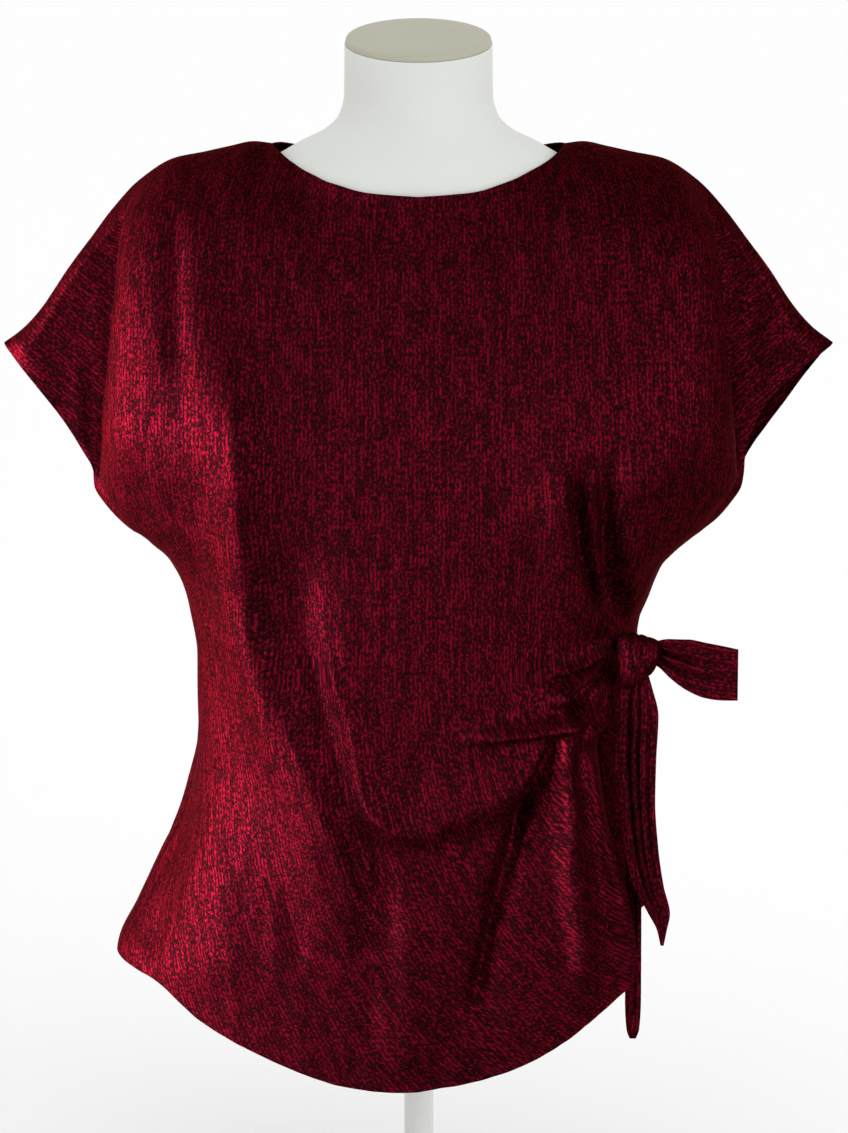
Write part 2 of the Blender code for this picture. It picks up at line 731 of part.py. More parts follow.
def rest_on(points, tree, clearance):
    """Moves a grid off the form: its points first, then whatever edge or face still lies too near."""
    points = points + shortfall(points, tree, clearance)
    for _ in range(6):
        move = np.zeros_like(points)
        rows, columns = points.shape[0], points.shape[1]
        for first, second in EDGES_AND_DIAGONALS:
            deep, wide = rows - max(first[0], second[0]), columns - max(first[1], second[1])
            ends = [(slice(a, a + deep), slice(b, b + wide)) for a, b in (first, second)]
            for share in (0.25, 0.5, 0.75):
                between = points[ends[0]] * (1 - share) + points[ends[1]] * share
                push = shortfall(between, tree, clearance * 0.95)
                for end in ends:
                    move[end] = longer(move[end], push)
        points = points + move
    return points


def ribbon(name, centres, widths, across, out, pleats, waves):
    """A doubled tie: a flat section at each centre, pleated by a wave across its width."""
    sections = []
    stations = np.linspace(-1.0, 1.0, TIE_COLUMNS)
    wall = out * TIE_THICKNESS / 2
    for centre, width, pleat in zip(centres, widths, pleats):
        lean = pleat * np.cos(waves * np.pi * stations)
        middle = centre + np.outer(stations * width / 2, across) + np.outer(lean, out)
        sections.append([*(middle + wall), *(middle[::-1] - wall)])
    return loft(name, sections)


def build_ties():
    forward, right, up = np.array([0, -1.0, 0]), np.array([1.0, 0, 0]), np.array([0, 0, 1.0])
    at = SIDE_END
    middle = (at["low"] + at["high"]) / 2
    centres = np.stack([at["x"], at["y"], middle], axis=1)
    ribbon("tie_end_side", centres, at["high"] - at["low"], up, forward, at["sway"], 1.0)
    for name, at, waves in (("tie_tail_front", FRONT_TAIL, 2.0), ("tie_tail_rear", REAR_TAIL, 1.0)):
        z = np.linspace(at["z"][0], at["z"][-1], TAIL_ROWS)
        rows = {key: follow({k: c[::-1] for k, c in at.items()}, "z", key, z) for key in at}
        centres = np.stack([(rows["left"] + rows["right"]) / 2, rows["y"], z], axis=1)
        ribbon(name, centres, rows["right"] - rows["left"], right, forward, rows["pleat"], waves)


def build_knot():
    bm = bmesh.new()
    bmesh.ops.create_uvsphere(bm, u_segments=16, v_segments=10, radius=1.0)
    obj = add_object("knot", bm)
    obj.scale = KNOT_SIZE
    obj.rotation_euler = (0.0, KNOT_LEAN, 0.0)
    obj.location = KNOT_CENTRE


def build_form():
    angle = np.linspace(0.0, 2 * np.pi, FORM_COLUMNS, endpoint=False)
    heights = np.unique(np.concatenate([FORM["z"], np.linspace(FORM_BOTTOM, 0.69, 14)]))
    heights = heights[np.concatenate([[True], np.diff(heights) > 0.008])]
    heights = np.append(heights[heights < NECK_TOP - 0.005], NECK_TOP)
    loft("dress_form", [form_points(np.full(FORM_COLUMNS, z), angle) for z in heights])
    ring = form_points(np.full(FORM_COLUMNS, NECK_TOP), angle) * np.array([0.985, 0.985, 1.0])
    ring[:, 2] = NECK_TOP + NECK_TILT * ring[:, 1]
    gap = np.array([0, 0, SEAM_GAP])
    high = np.array([0, 0, NECK_CAP])
    narrow = ring * np.array([0.975, 0.975, 1.0])
    narrow[:, 2] = NECK_TOP + NECK_TILT * narrow[:, 1]
    loft("form_neck_cap", [ring + gap, ring + gap + 0.7 * high, narrow + gap + high])


def build_stand():
    low, high = BASE_THICKNESS + SEAM_GAP, FORM_BOTTOM - SEAM_GAP
    bm = bmesh.new()
    bmesh.ops.create_cone(bm, cap_ends=True, segments=24, radius1=POLE_RADIUS, radius2=POLE_RADIUS,
                          depth=high - low)
    pole = add_object("stand_pole", bm)
    pole.location = (0.0, 0.0, (low + high) / 2)
    bm = bmesh.new()
    bmesh.ops.create_cone(bm, cap_ends=True, segments=48, radius1=BASE_RADIUS, radius2=BASE_RADIUS,
                          depth=BASE_THICKNESS)
    base = add_object("stand_base", bm)
    base.location = (0.0, 0.0, BASE_THICKNESS / 2)
    bevel = base.modifiers.new("edge", "BEVEL")
    bevel.width = BASE_BEVEL
    bevel.segments = 1
    bevel.angle_limit = math.radians(60)


def form_tree():
    bpy.context.view_layer.update()
    graph = bpy.context.evaluated_depsgraph_get()
    return BVHTree.FromObject(bpy.data.objects["dress_form"], graph)


def main():
    for obj in list(bpy.data.objects):
        bpy.data.objects.remove(obj, do_unlink=True)
    group = bpy.data.collections.new(COLLECTION)
    bpy.context.scene.collection.children.link(group)
    build_form()
    build_stand()
    tree = form_tree()
    Panel(FRONT_GRID, True).build("front", tree)
    Panel(BACK_GRID, False).build("back", tree)
    build_knot()
    build_ties()


main()
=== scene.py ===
"""Tie waist top worn on a white limbless dress form with its stand.

Metres, +Z up, the front of the garment faces -Y. The cloth panels are grids of points worked out
from the tables below, whose lengths are in mm: outlines in x and z, a depth for each height, and a
row for each fold.
"""

import json
import math

import bpy
import numpy as np
from bpy.props import FloatProperty, FloatVectorProperty, PointerProperty
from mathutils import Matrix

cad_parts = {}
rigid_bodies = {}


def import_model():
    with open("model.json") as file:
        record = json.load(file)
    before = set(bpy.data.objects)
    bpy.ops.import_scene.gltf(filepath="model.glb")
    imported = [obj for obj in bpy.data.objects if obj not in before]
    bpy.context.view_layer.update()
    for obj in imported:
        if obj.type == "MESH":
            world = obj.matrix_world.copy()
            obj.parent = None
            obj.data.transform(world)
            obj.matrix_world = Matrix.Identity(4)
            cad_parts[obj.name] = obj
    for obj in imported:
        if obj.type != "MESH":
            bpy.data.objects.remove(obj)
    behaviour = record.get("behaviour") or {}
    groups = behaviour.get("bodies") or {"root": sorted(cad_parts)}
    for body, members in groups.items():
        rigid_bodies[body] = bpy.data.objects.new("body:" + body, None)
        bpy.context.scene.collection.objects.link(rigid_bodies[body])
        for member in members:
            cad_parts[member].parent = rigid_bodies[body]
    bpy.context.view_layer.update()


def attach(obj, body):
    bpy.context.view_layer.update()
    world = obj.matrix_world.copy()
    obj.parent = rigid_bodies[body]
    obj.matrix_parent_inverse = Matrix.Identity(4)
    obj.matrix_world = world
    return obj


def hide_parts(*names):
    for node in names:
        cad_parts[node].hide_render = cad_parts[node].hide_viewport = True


bl_info = {
    "name": "Tie waist top on a dress form",
    "version": (1, 0, 0),
    "blender": (4, 5, 0),
    "location": "3D View > Sidebar > Tie Top",
    "description": "Builds a crinkle cloth top with a knot at its waist, on a moulded dress form",
    "category": "Object",
}

for startup_object in list(bpy.data.objects):
    bpy.data.objects.remove(startup_object, do_unlink=True)
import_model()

# The tables give lengths in mm, apart from these columns
MM = 1000.0
NOT_LENGTHS = ("power", "s", "share", "step", "turn")

# Gap between rigid pieces, overlap of sewn edges, how far from a seam the folds reach full height, and
# how near the cloth comes to the form
RIGID_GAP = 0.0003
SEAM_OVERLAP = 0.00008
SEAM_FADE = 0.022
FORM_CLEARANCE = 0.0026

# Section of the top: how square it is below and above the underarm, how far round it the strip at the
# side ends, and how deep the back's edge lies where it runs on round the hip
SECTION_POWER = 2.3
ACROSS_POWER = {"front": 5.5, "back": 2.8}
SIDE_TURN = math.radians(28.0)
LEAST_TURN = math.radians(9.0)
WRAP_DEPTH = 0.72

# Lengths of v above and below the underarm, lengths of it over which the sleeve passes into the side
# and into the body, and the number of steps in each part of the grids
SIDE_BLEND, BODY_BLEND = 3.0, 5.0
FRONT_UNITS, BACK_UNITS = (10.0, 28.0), (8.0, 19.0)
FRONT_STEPS = {"sleeve": 26, "body": 168, "upper": 58, "lower": 146}
BACK_STEPS = {"sleeve": 20, "body": 110, "upper": 44, "lower": 96}

# Sleeve: the share of its width that is wing, how far the wing slips behind the body of the top, over
# what shares of its height it does so, and how it opens at the cuff
WING_SHARE = 0.70
WING_START = 0.25
WING_TUCK = 0.009
TUCK_FADE = (0.40, 0.25)
WING_BEHIND = 0.7
FOLD_FORWARD = 0.020
CUFF_POWER = 3.0
CUFF_FLARE = 12.0

# Height at which the grain's v is the height itself, and how often the grain is softened
GRAIN_LEVEL = 0.60
GRAIN_ROUNDS = 12

# Folds: how quickly they fall off sideways, and over what shares of its line each fades in and out.
# Height of the crinkle.
FOLD_FALL = 1.6
FADE_IN, FADE_OUT = 0.35, 0.25
RIPPLE_HEIGHT = 0.00022

# Dress form and stand
NECK_TILT = 0.209
NECK_START, NECK_RAMP = 0.845, 0.035
NECK_TOP = 0.8925
NECK_CAP = 0.004
FORM_BOTTOM = 0.262
FORM_COLUMNS = 144
FOOT_ROUND = 0.006
# Size of each ring that closes the form and its cap, and how far up it lies: in metres, and in caps
FOOT_RINGS = [(0.30, 0.0), (0.80, 0.0), (0.955, 0.0), (0.982, 0.0012), (0.996, 0.0040)]
HEAD_RINGS = (0.985, 0.6, 0.25)
CAP_RINGS = [(0.5, 0), (1, 0), (1, 0.62), (0.994, 0.82), (0.983, 0.94), (0.968, 1), (0.6, 1), (0.2, 1)]
POLE_RADIUS = 0.011
BASE_RADIUS = 0.140
BASE_THICKNESS = 0.012
BASE_EDGE = 0.003

# Knot: its middle, half its width, its lean, and the place on the cloth that the threads run round
KNOT_CENTRE = (0.1590, -0.0875, 0.4525)
KNOT_SIZE = 0.0158
KNOT_LEAN = math.radians(4.0)
KNOT_HEIGHT = 0.450
THREAD_SQUEEZE = 0.85

# Ties: how much they bulge, how far they stand off their line, and how many layers thick they are
TIE_BULGE = 0.6
TIE_LIFT = 0.0012
TIE_LAYERS = 2.0


def table(columns, rows):
    """Named columns, each an array with one value for each row: lengths from mm, the rest as it is."""
    values = zip(columns.split(), np.array(rows, float).T)
    return {name: column if name in NOT_LENGTHS else column / MM for name, column in values}


FORM = table("z half_width front back", [
    (262, 154, 100, 104), (300, 156, 102, 108), (340, 153, 100, 106), (390, 138, 93, 88),
    (430, 118, 88, 72), (470, 114, 89, 70), (520, 122, 98, 76), (570, 138, 116, 88), (610, 149, 122, 94),
    (650, 160, 116, 96), (690, 172, 104, 94), (725, 177, 93, 89), (750, 174, 85, 83), (770, 164, 79, 77),
    (785, 149, 73.5, 72), (797, 131, 69, 68), (807, 112, 65.5, 65), (815.6, 96.5, 62, 62),
    (822, 85.5, 59.5, 60), (830, 69, 57, 58), (840, 58.5, 54.5, 56), (855, 54.3, 52.5, 54.5),
    (892, 53.8, 52, 54.5),
])

# How square the form's section is: 2 is an ellipse
SECTION = table("z power", [(262, 2.2), (700, 2.3), (790, 2.2), (830, 2), (900, 2)])

# Depth of the cloth before and behind the centre line
DEPTH = table("z front back", [
    (120, 118, 124), (200, 121.5, 124), (300, 126, 122), (400, 127, 112), (500, 131, 102), (610, 137, 105),
    (650, 130, 105), (720, 106, 99), (790, 75.5, 76), (830, 56, 58),
])

# Half width of the cloth below the underarm. The front hangs free of the right side below the knot.
LEFT_SIDE = table("z half_width", [
    (120, 230), (214, 228), (248, 213), (279, 197), (310, 180), (338, 171), (372, 165), (441, 165),
    (476, 170), (499, 176.5), (515, 186), (532, 205), (544, 221.5), (555, 233), (570, 240.5), (582, 241),
])
RIGHT_SIDE_TOP = [
    (470, 164), (487, 169), (508, 178.5), (519, 187), (532, 204), (544, 220), (555, 231), (570, 240),
    (582, 242),
]
RIGHT_SIDE_BACK = table("z half_width", [
    (120, 174), (250, 173), (360, 166), (420, 162.5), (452, 160), *RIGHT_SIDE_TOP,
])
RIGHT_SIDE_FRONT = table("z half_width", [
    (120, 208), (209, 205), (300, 190), (400, 174), (455, 162.5), *RIGHT_SIDE_TOP,
])

# Where the right edge of each panel lies: the seam down to the knot, then a free edge
RIGHT_EDGE_FRONT = table("z share", [
    (209, 0.795), (311, 0.78), (385, 0.755), (416, 0.8), (437, 0.88), (456, 1),
])
RIGHT_EDGE_BACK = table("z turn", [(250, 44), (300, 50), (430, 50), (441, 43), (458, 0)])

# Top seam from the sleeve tip to the neck, and the neckline from its corner to its centre
TOP_SEAM = table("x z", [
    (107, 820), (120, 821.5), (138, 818), (156, 814), (178, 809.5), (204, 793.5), (226, 770), (241, 750),
    (256, 730.5), (277, 699.5), (290, 685), (306, 673),
])
FRONT_NECKLINE = table("x z y", [
    (0, 788, 76), (36, 790.5, 72.5), (64, 797, 63), (86, 806, 46), (102, 816.6, 20), (107, 820, 0),
])
BACK_NECKLINE = table("x z y", [
    (0, 801, 71), (36, 803.5, 68), (64, 808, 60), (86, 814, 45), (102, 819, 20), (107, 820, 0),
])

# Edge of the sleeve opening and the fold that falls from the shoulder to the underarm
CUFF = table("share x z", [
    (0, 305.5, 673), (0.3, 280, 641.5), (0.6, 258, 612), (0.85, 245, 590.5), (1, 240.5, 580.5),
])
SLEEVE_FOLD = table("share x z front back", [
    (0, 205, 791.2, 0, 0), (0.14, 215, 760, 33, 32), (0.45, 221, 689, 50, 42), (0.75, 228.5, 633, 50, 42),
    (1, 233, 582, 45, 43),
])
# Ends of the sleeve's top edge in x and z, half its depth, and how it rounds over at its top
TIP, SHOULDER = (np.array([rows["x"][0], rows["z"][0]]) for rows in (CUFF, SLEEVE_FOLD))
SLEEVE_DEPTH = 0.021
SHOULDER_ROUND = 0.065
SLEEVE_ROUND = 0.012

# How far the middle of each cuff edge is moved in x and z, by panel and side
CUFF_MOVE = {
    ("front", False): (0.0, 0.0015),
    ("front", True): (-0.008, 0.011),
    ("back", False): (0.0, 0.0),
    ("back", True): (0.0, -0.0055),
}

# Where the columns and rows of the front crowd together: at the right side, and at the knot
COLUMN_SPREAD = table("step share", [(0, 0), (0.22, 0.25), (0.48, 0.6), (1, 1)])
ROW_SPREAD = table("step share", [(0, 0), (0.22, 0.27), (0.6, 0.54), (1, 1)])

FRONT_HEM = table("x z", [
    (-228, 214), (-194, 205.5), (-162, 182), (-124, 163), (-87, 148), (-50, 137.5), (-14, 134.5), (23, 139),
    (60, 147.5), (96, 163), (118, 177), (141, 195), (163, 211),
])
BACK_HEM = table("x z", [
    (-228, 214), (-190, 190), (-130, 159), (-60, 143), (0, 140), (70, 153), (130, 185), (172, 250),
])

# Folds: a centre line of x, z points, its height, and how wide it is on its left and its right
LONG_FOLD = [
    (-127, 625), (-121, 560), (-113, 472), (-92, 409), (-76, 370), (-61, 327), (-48, 288), (-34, 245),
]
FRONT_FOLDS = [
    ([(-158, 770), (-146, 697), *LONG_FOLD], 13, 36, 20),
    ([(-93, 570), (-84, 474), (-67, 415), (-52, 356), (-35, 296), (-21, 236)], -8, 18, 18),
    ([(-67, 520), (-60, 460), (-51, 415), (-45, 372), (-37, 348), (-20, 337), (10, 338), (59, 358),
      (100, 394), (131, 432)], 8.5, 16, 26),
    ([(-176, 790), (-175, 745), (-173, 710), (-170, 665)], -4.5, 10, 11),
    ([(-208, 750), (-212, 700), (-213, 640), (-205, 585)], 1.5, 14, 16),
    ([(100, 630), (101, 576), (107, 531), (117, 497), (140, 468)], 6, 28, 8),
    ([(134, 620), (136, 550), (140, 500), (149, 470)], -5, 11, 11),
    ([(182, 660), (168, 580), (160, 520), (155, 473)], 6, 18, 18),
    ([(152, 470), (129, 457), (114, 449), (98, 441)], 7, 8, 9),
    ([(142, 458), (122, 447), (108, 442), (92, 436)], -4.5, 7, 7),
    ([(142, 451), (124, 441), (110, 433), (94, 424)], 6, 8, 9),
    ([(135, 431), (114, 422), (90, 418)], -5, 8, 8),
    ([(130, 410), (110, 407), (80, 404), (30, 401)], 5, 10, 5),
    ([(104, 386), (83, 358), (68, 313), (58, 282), (49, 235), (39, 183)], -10, 12, 30),
    ([(104, 386), (103, 345), (106, 291), (113, 252), (120, 205)], 7, 10, 18),
    ([(-166, 361), (-181, 316), (-196, 262), (-204, 215)], -6, 16, 18),
    ([(-150, 361), (-150, 300), (-144, 200)], 3, 26, 24),
    ([(-5, 300), (-5, 220), (-10, 140)], 5.5, 26, 26),
]
BACK_FOLDS = [
    ([(-150, 740), (-135, 620), (-115, 480), (-105, 360)], 7, 28, 28),
    ([(150, 740), (138, 620), (122, 480)], 7, 28, 28),
    ([(-60, 440), (-62, 300), (-70, 160)], 8, 26, 26),
    ([(20, 460), (18, 320), (15, 150)], 8, 28, 28),
    ([(98, 440), (100, 320), (108, 180)], 7, 26, 26),
    ([(-165, 420), (-172, 330), (-190, 220)], 5, 22, 22),
]

# Finer folds of the front, drawn here only
FINE_FOLDS = [
    # Crest of the long left fold, and the soft trough on its left
    ([(-150, 730), (-140, 680), *LONG_FOLD], 6, 30, 8),
    # Narrow crest that turns under the gathers, from the left side to the swag
    ([(-72, 500), (-63, 452), (-47, 411), (-40, 362), (-32, 345), (-10, 331), (12, 328)], 5.5, 6, 7),
    ([(-118, 560), (-104, 470), (-92, 410), (-76, 350), (-50, 270)], -4, 10, 10),
    # Right of the bust: the edge that laps over, the crease behind it, a ridge, a pocket and a pouch
    ([(100, 620), (102, 590), (105, 560), (110, 533), (119, 504), (131, 483), (148, 470)], 5, 22, 4),
    ([(109.5, 615), (111, 590), (113, 565), (117.5, 534.5), (126, 507), (138, 486), (150, 473)],
      -8.5, 4, 6),
    ([(122, 610), (123.5, 575), (127.5, 530), (135, 498), (146, 478)], 4.5, 5.5, 5),
    ([(134, 600), (134, 565), (136.5, 530), (141, 500), (149, 478)], -5, 5, 8),
    ([(152, 640), (149, 575), (148, 520), (150, 480)], 5, 8, 10),
    # Swag edge of the gathers and the dark triangle under it
    ([(132, 411), (108, 408), (85, 406), (50, 402)], 5, 11, 3.5),
    ([(112, 412), (98, 398), (88, 378), (79, 352), (71, 325)], -10, 6, 9),
    # Gathers: creases, a hollow and a puffy roll that curls down from the knot
    ([(152, 468), (132, 460), (116, 452), (99, 446)], 3, 5, 4),
    ([(144, 459), (124, 449), (110, 445), (94, 440)], -5, 4, 4),
    ([(146, 452), (130, 439), (116, 428), (103, 420)], -9, 6, 6),
    ([(150, 446), (143, 422), (132, 405), (116, 396)], 8, 6, 7),
    # Upright ridge where the gathers end, which runs on down beside the valley
    ([(101, 462), (102, 440), (103.5, 412), (104, 380), (105, 345), (107, 310)], 7.5, 6, 9),
    ([(102, 420), (103, 380), (105, 345), (109, 291), (114, 252), (121, 195)], 7, 7, 16),
    ([(98, 410), (84, 365), (72, 330), (60, 286), (50, 245), (39, 190)], -5, 6, 12),
    # Ridge beside the free edge, which turns in behind the tails
    ([(122, 425), (122, 400), (126, 365), (132, 330), (140, 300), (149, 262), (157, 230)], 5, 9, 7),
    ([(152, 445), (143, 415), (141, 385), (145, 355), (150, 325), (155, 305)], -11, 12, 12),
    # Short creases
    ([(-80, 275), (-67, 245)], 2, 8, 8),
    ([(-51, 280), (-34, 235)], -3, 8, 8),
    ([(16, 341), (45, 304)], -3, 10, 10),
    ([(-100, 300), (-86, 230)], -2.5, 12, 12),
]

# Ties, along x or z: for each section its two edges, where it lies in y, and how deep its pleats are
SIDE_END = table("x low high y pleat", [
    (170, 450, 465, -88, 2), (174, 448, 467, -89, 3), (183, 440, 469, -93, 4.5),
    (195, 431.5, 469, -94.5, 4), (208, 425.8, 466.5, -94, 2), (221, 423.6, 463.5, -92, 1),
    (232, 423.1, 460.7, -90, 0.5),
])
FRONT_TAIL = table("z low high y pleat", [
    (240.5, 177.5, 179.8, -97, 0), (253, 174.5, 182.2, -97, 0.5), (264.4, 168.5, 184.2, -97, 1.5),
    (285, 158, 179.5, -97, 3), (313.5, 150.5, 175.2, -97, 4.5), (351, 145.5, 172.5, -96.5, 5.5),
    (381, 142.5, 173, -96, 6), (412, 143, 174.5, -92, 5), (432, 148, 170, -88.5, 3),
    (442, 152, 167, -87, 1),
])
REAR_TAIL = table("z low high y pleat", [
    (164, 156.5, 161, -79, 0), (170, 154.2, 163.3, -79, 0.5), (193.7, 152.8, 164.6, -79, 1.2),
    (232, 153.5, 164.5, -78, 1.8), (308.2, 152, 164, -76, 2.2), (400, 151, 163, -76, 2),
    (429.2, 153, 161, -78, 1),
])

# Pleats across a tie: where each groove lies from edge to edge, its depth, and its width
SIDE_END_GROOVES = [(-0.35, 0.9, 0.16), (0.25, 1.0, 0.14), (0.70, 0.5, 0.12)]
FRONT_TAIL_GROOVES = [(-0.30, 0.9, 0.12), (0.12, 0.7, 0.11), (0.60, 0.4, 0.10)]
REAR_TAIL_GROOVES = [(0.10, 1.0, 0.25)]
KNOT_GROOVES = [(-0.62, 0.10, 0.08), (-0.20, 0.17, 0.07), (0.28, 0.15, 0.07), (0.68, 0.08, 0.08)]

# Knot from its left end to its right end: how far above and below its middle it reaches, and its depth
KNOT_SHAPE = table("s top bottom depth", [
    (-1, 15, 4, 4), (-0.9, 18.5, -7, 8.5), (-0.7, 20, -16, 11), (-0.4, 20.5, -22.2, 13),
    (0, 19.5, -19.5, 13.5), (0.5, 17.5, -13, 12.5), (0.85, 15.5, -5, 10), (1, 12, 4, 4),
])

# Soft lights on the cloth alone: share of the power, size, place and the pieces that each one lights
CLOTH_AIM = (0.0, 0.0, 0.42)
FRONT_PIECES = ("front_panel", "knot_wrap", "tie_end", "tie_tail_wide", "tie_tail_narrow")
CLOTH_LIGHTS = [
    ("side_soft", 0.57, 1.5, (-2.35, 0.00, 0.20), ("back_panel", *FRONT_PIECES)),
    ("left_soft", 0.82, 1.5, (-2.20, -0.98, 0.28), ("back_panel", *FRONT_PIECES)),
    ("right_soft", 0.15, 1.4, (1.65, -1.90, 0.70), FRONT_PIECES),
]

# Light on everything: its size, its place and where it points. Half the width of the floor.
ROOM_LIGHT = (1.6, (1.7, -2.0, 1.3), (0.0, 0.0, 0.5))
FLOOR_HALF = 60.0

# Camera: where it looks, from how far and how high, and its lens for a 36 mm sensor on the long side
CAMERA_TARGET = (0.004, 0.0, 0.505)
CAMERA_DISTANCE = 3.05
CAMERA_DROP = math.radians(10.8)
CAMERA_LENS = 130.08


def linear(code):
    """An sRGB hex colour as linear red, green and blue."""
    parts = [int(code[i : i + 2], 16) / 255 for i in (1, 3, 5)]
    return tuple(p / 12.92 if p <= 0.04045 else ((p + 0.055) / 1.055) ** 2.4 for p in parts)


class ClothSettings(bpy.types.PropertyGroup):
    """Sizes and colours of the crinkle cloth."""

    wall: FloatProperty(name="Cloth", description="Thickness of one layer", default=0.0013, unit="LENGTH")
    thread: FloatProperty(name="Lines", description="Line to line of stitch", default=0.0029, unit="LENGTH")
    stitch: FloatProperty(name="Dashes", description="Length of a dash", default=0.0120, unit="LENGTH")
    ground: FloatVectorProperty(
        name="Ground", description="Between the threads", subtype="COLOR", default=(0.0055, 0.0009, 0.0016)
    )
    body: FloatVectorProperty(
        name="Cloth", description="Plain cloth", subtype="COLOR", default=(0.0140, 0.0009, 0.0019)
    )
    bright: FloatVectorProperty(
        name="Thread", description="Shiny threads", subtype="COLOR", default=(0.0350, 0.0009, 0.0030)
    )
    spark: FloatVectorProperty(
        name="Glitter", description="Brightest stitches", subtype="COLOR", default=(0.0640, 0.0013, 0.0056)
    )


class FormSettings(bpy.types.PropertyGroup):
    """Colours of the dress form and its stand."""

    shell: FloatVectorProperty(
        name="Form", description="Moulded body", subtype="COLOR", default=linear("#d6d8d4")
    )
    cap: FloatVectorProperty(
        name="Neck cap", description="Disc on the neck", subtype="COLOR", default=linear("#acaa98")
    )
    stand: FloatVectorProperty(
        name="Stand", description="Painted steel", subtype="COLOR", default=linear("#e8e8e6")
    )


class StageSettings(bpy.types.PropertyGroup):
    """Floor and lights."""

    floor: FloatVectorProperty(
        name="Floor", description="Pale floor", subtype="COLOR", default=(0.97, 0.97, 0.97)
    )
    key: FloatProperty(name="Side light", description="Watts, on the cloth alone", default=520.0, min=0.0)
    fill: FloatProperty(name="Fill light", description="Watts", default=11.0, min=0.0)
    sky: FloatProperty(name="Room light", description="Strength", default=1.02, min=0.0)


def smooth_step(x):
    x = np.clip(x, 0.0, 1.0)
    return x * x * (3.0 - 2.0 * x)


def follow(rows, name, at):
    """Smooth curve through one column of a table, over its first column: cubics whose slopes are
    harmonic means, so that none overshoots."""
    xs, ys = next(iter(rows.values())), rows[name]
    at = np.clip(np.asarray(at, float), xs[0], xs[-1])
    step = np.diff(xs)
    slope = np.diff(ys) / step
    tangent = np.zeros(len(xs))
    tangent[0], tangent[-1] = slope[0], slope[-1]
    same = slope[:-1] * slope[1:] > 0
    before, after = 2 * step[1:] + step[:-1], step[1:] + 2 * step[:-1]
    with np.errstate(divide="ignore", invalid="ignore"):
        mean = (before + after) / (before / slope[:-1] + after / slope[1:])
    tangent[1:-1] = np.where(same, mean, 0.0)
    cell = np.clip(np.searchsorted(xs, at, side="right") - 1, 0, len(step) - 1)
    t = (at - xs[cell]) / step[cell]
    wide = step[cell]
    return (
        ys[cell] * (1 + 2 * t) * (1 - t) ** 2
        + wide * tangent[cell] * t * (1 - t) ** 2
        + ys[cell + 1] * t * t * (3 - 2 * t)
        + wide * tangent[cell + 1] * t * t * (t - 1)
    )


def fold_height(folds, x, z):
    """Sum of the folds: each is its height times exp(-FOLD_FALL (distance from its line / width) squared),
    with its own width on each side, and it fades in and out over the ends of its line."""
    total = np.zeros_like(x)
    for line, *sizes in folds:
        points = np.array(line) / MM
        height, left, right = np.array(sizes) / MM
        lengths = np.hypot(*np.diff(points, axis=0).T)
        start = np.concatenate([[0.0], np.cumsum(lengths)])
        near = np.full(x.shape, np.inf)
        side = np.zeros_like(x)
        place = np.zeros_like(x)
        for i, length in enumerate(lengths):
            along = (points[i + 1] - points[i]) / length
            dx, dz = x - points[i][0], z - points[i][1]
            t = np.clip(dx * along[0] + dz * along[1], 0.0, length)
            away = np.hypot(dx - t * along[0], dz - t * along[1])
            closer = away < near
            near = np.where(closer, away, near)
            side = np.where(closer, dx * along[1] - dz * along[0], side)
            place = np.where(closer, start[i] + t, place)
        width = np.where(side > 0, left, right)
        fade = smooth_step(place / (FADE_IN * start[-1]))
        fade = fade * smooth_step((start[-1] - place) / (FADE_OUT * start[-1]) + FADE_OUT)
        total += height * fade * np.exp(-((near / width) ** 2) * FOLD_FALL)
    return total


def ripple(x, z):
    """Soft crinkle of the cloth: three upright waves whose places drift with the height."""
    drift = 0.006 * np.sin(21.0 * z + 3.0) + 0.004 * np.sin(47.0 * z + 40.0 * x)
    waves = np.sin(2 * np.pi * (x + drift) / 0.0145) * np.sin(31.0 * z + 60.0 * x)
    waves = waves + 1.3 * np.sin(2 * np.pi * (x - drift) / 0.0230 + 1.0) * np.sin(19.0 * z - 35.0 * x)
    return RIPPLE_HEIGHT * (waves + 1.5 * np.sin(2 * np.pi * (x + 2 * drift) / 0.0410 + 2.0))


def soften(values, axis):
    """Each value becomes a quarter of each neighbour and half of itself along one axis, ends kept."""
    values = np.moveaxis(values, axis, 0).copy()
    values[1:-1] = values[:-2] / 4 + values[1:-1] / 2 + values[2:] / 4
    return np.moveaxis(values, 0, axis)


def normals_of(points):
    """Unit normals of a grid: the slope down its rows crossed with the slope along its columns."""
    normal = np.cross(np.gradient(points, axis=0), np.gradient(points, axis=1))
    return normal / np.maximum(np.linalg.norm(normal, axis=2, keepdims=True), 1e-12)


def form_section(z, before):
    """Half width, depth and power of the form's section at these heights."""
    depth = np.where(before, follow(FORM, "front", z), follow(FORM, "back", z))
    return follow(FORM, "half_width", z), depth, follow(SECTION, "power", z)


def form_points(z, angle):
    """The form's section: x = width cos(angle)^(2/n), y = depth sin(angle)^(2/n), deeper in front."""
    across, along = np.cos(angle), np.sin(angle)
    wide, depth, power = form_section(z, along < 0)
    x = wide * np.sign(across) * np.abs(across) ** (2.0 / power)
    y = depth * np.sign(along) * np.abs(along) ** (2.0 / power)
    lift = NECK_TILT * y * smooth_step((z - NECK_START) / NECK_RAMP)
    return np.stack([x, y, z + lift], axis=-1)


def form_value(points):
    """Below zero inside the form: ((x/width)^n + (y/depth)^n)^(1/n) - 1."""
    x, y, z = np.moveaxis(points, -1, 0)
    wide, depth, power = form_section(z, y < 0)
    return ((np.abs(x) / wide) ** power + (np.abs(y) / depth) ** power + 1e-12) ** (1 / power) - 1


